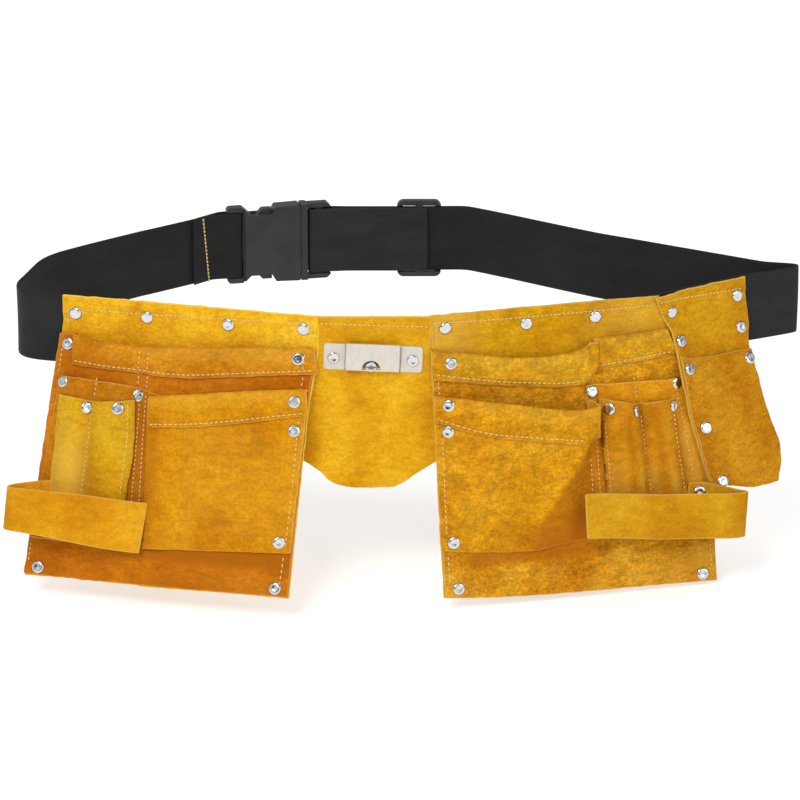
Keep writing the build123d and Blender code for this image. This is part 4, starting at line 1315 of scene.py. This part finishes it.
def ribbon(name, line, half, node):
    """Upright strap along plan-view points, with rounded selvedges."""
    count = 14
    rows = [-half + 1 + (2 * half - 2) * k / count for k in range(count + 1)]
    ring = [(STRAP_THICK / 2, h) for h in rows]
    ring += [(STRAP_THICK * 0.3, half), (-STRAP_THICK * 0.3, half)]
    ring += [(-STRAP_THICK / 2, -h) for h in rows]
    ring += [(-STRAP_THICK * 0.3, -half), (STRAP_THICK * 0.3, -half)]
    verts, uvs = [], []
    run = 0.0
    size = len(ring)
    for k, p in enumerate(line):
        if k:
            run += (p - line[k - 1]).length
        way = (line[min(k + 1, len(line) - 1)] - line[max(k - 1, 0)]).normalized()
        side = Vector((-way.y, way.x))
        sag = 0.5 * wave(run, 0, 70, 6.6)
        for off, h in ring:
            q = p + side * off
            cup = 0.35 * (h / half) ** 2
            verts.append(Vector((q.x + side.x * cup, q.y + side.y * cup, h + sag)))
            uvs.append((run / 100, h / 100 + (0 if off > 0 else 1.3)))
    faces = [(a, d, c, b) for a, b, c, d in skin(0, len(line), size)]
    faces.append(tuple(range(size)))
    last = (len(line) - 1) * size
    faces.append(tuple(range(last, last + size))[::-1])
    obj = make_mesh(name, verts, faces, uvs, WEBBING)
    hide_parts(node)
    return obj


def relax(line, rounds, keep):
    """Softens a line of points, leaving its ends where they are."""
    for _ in range(rounds):
        fresh = list(line)
        for k in range(keep, len(line) - keep):
            fresh[k] = line[k] * 0.5 + (line[k - 1] + line[k + 1]) * 0.25
        line = fresh
    return line


front_line = rounded(
    [(-222, -72.3), (-62.3, -115.1), (10.7, -115.1), (171.2, -69.95), (238.1, -24.6), (288, 1.5),
     (256, 7), (141, 73), (44, 140.6), (-50, 140.6), spot(20, -3.3)],
    [8, 8, 8, 20, 5, 30, 120, 20, 30],
)
main_strap = ribbon("webbing_main_strap", relax(front_line, 6, 4), BELT_HALF, "webbing_main")
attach(main_strap, "belt")
tail_line = rounded(
    [spot(20, -3.3), spot(7, -3.3), spot(7, 3.3), spot(20, 3.3), (-46, 136.6), (14.6, 136.6),
     (14.6, 139.3)],
    [2.4, 2.4, 20, 20, 1.2],
    0.8,
)
TAIL_HALF = 24.6
tail_strap = ribbon("webbing_tail_strap", tail_line, TAIL_HALF, "webbing_tail")
# the tail's webbing is a copy painted 1.6 times lighter, standing in for the light its face catches
tail_strap.data.materials[0] = webbing("webbing_tail_painted_lighter", 1.6)
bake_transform(tail_strap)
FOLD_BEND, FOLD_END = Vector((-146.2, 116.6)), Vector((-158.9, 104))
left_line = rounded(
    [(-221, -72.5), (-242.2, -66.85), (-281, -56.5), (-262, 20), (-196.5, 78), (-158, 107.5),
     spot(-60, -3.4), spot(-44.2, -3.4), spot(-44.2, 3.4), spot(-60, 3.4), FOLD_BEND, FOLD_END],
    [20, 24, 60, 60, 30, 10, 2.4, 2.4, 4, 10],
    1.0,
)
left_strap = ribbon("webbing_left_strap", left_line, BELT_HALF, "webbing_left")
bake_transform(left_strap)

# pale line sewing down the folded end, leaning a little towards the buckle
fold_way = (FOLD_END - FOLD_BEND).normalized()
inwards = Vector((-fold_way.y, fold_way.x, 0))
seam_top = Vector((-152.4, 110.4, 0)) + inwards * 1.1
STITCH, STITCH_PITCH, STITCH_LEAN, STITCH_COUNT = 2.6, 3.0, 0.1, 17
for k in range(STITCH_COUNT):
    down = STITCH_PITCH * k
    shift = down * STITCH_LEAN
    start = seam_top - fold_way.to_3d() * shift + UP * (TAIL_HALF - down)
    end = seam_top - fold_way.to_3d() * (shift + 0.25) + UP * (TAIL_HALF - down - STITCH)
    arm_thread.stitch(start, end, inwards, 0.75)

for thread_run, name, body in (
    (left_thread, "left_stitching", "left_pouch"),
    (right_thread, "right_stitching", "right_pouch"),
    (belt_thread, "belt_stitching", "belt"),
    (arm_thread, "fold_stitching", "left_arm"),
):
    thread_run.build(name, body)

# ---------------------------------------------------------------- stage, light, camera
stage_material = Nodes("stage_white")
stage_material.look(Base_Color=(0.9, 0.9, 0.9, 1), Roughness=0.9)
stage_material.look(Emission_Color=(1, 1, 1, 1), Emission_Strength=0.35)
FLOOR = -0.182
floor_mesh = bpy.data.meshes.new("floor")
floor_corners = [(-6, -6, FLOOR), (6, -6, FLOOR), (6, 6, FLOOR), (-6, 6, FLOOR)]
floor_mesh.from_pydata(floor_corners, [], [(0, 1, 2, 3)])
floor_mesh.materials.append(stage_material.material)
place("floor", floor_mesh)

world = bpy.data.worlds.new("studio")
bpy.context.scene.world = world
world.use_nodes = True
sky = world.node_tree
background = sky.nodes["Background"]
background.inputs["Color"].default_value = (1.0, 1.0, 1.0, 1)
background.inputs["Strength"].default_value = 0.60
# polished parts see a room with dark and bright patches, everything else an even white one
room, coord, patches, ramp, rays, either = (
    sky.nodes.new("ShaderNode" + kind)
    for kind in ("Background", "TexCoord", "TexNoise", "ValToRGB", "LightPath", "MixShader")
)
patches.inputs["Scale"].default_value = 2.2
patches.inputs["Detail"].default_value = 1.0
dark, bright = ramp.color_ramp.elements
dark.position, dark.color = 0.42, (0.03, 0.03, 0.035, 1)
bright.position, bright.color = 0.58, (0.95, 0.95, 0.95, 1)
for source, target in (
    (coord.outputs["Generated"], patches.inputs["Vector"]),
    (patches.outputs["Fac"], ramp.inputs["Fac"]),
    (ramp.outputs["Color"], room.inputs["Color"]),
    (rays.outputs["Is Glossy Ray"], either.inputs["Fac"]),
    (background.outputs[0], either.inputs[1]),
    (room.outputs[0], either.inputs[2]),
    (either.outputs[0], sky.nodes["World Output"].inputs["Surface"]),
):
    sky.links.new(source, target)


def lamp(name, spot_at, target, size, power):
    data = bpy.data.lights.new(name, "AREA")
    data.shape = "SQUARE"
    data.size = size
    data.energy = power
    obj = place(name, data)
    obj.location = spot_at
    obj.rotation_euler = (Vector(target) - Vector(spot_at)).to_track_quat("-Z", "Y").to_euler()


lamp("key", (-0.7, -1.8, 1.55), (0, 0, -0.05), 0.8, 24)
lamp("fill", (1.6, -1.4, 0.7), (0, 0, -0.05), 1.2, 7)
lamp("top", (0.0, 0.4, 1.9), (0, 0, 0), 1.4, 5)

CAMERA_TILT = radians(20.0)
CAMERA_DISTANCE = 3.2
look_at = Vector((-0.0057, 0, -0.07832))
camera_data = bpy.data.cameras.new("camera")
camera_data.lens = 198.5
camera_data.sensor_width = 36.0
camera_data.clip_end = 50
camera = place("camera", camera_data)
camera.location = look_at + Vector((0, -cos(CAMERA_TILT), sin(CAMERA_TILT))) * CAMERA_DISTANCE
camera.rotation_euler = (look_at - camera.location).to_track_quat("-Z", "Y").to_euler()
bpy.context.scene.camera = camera
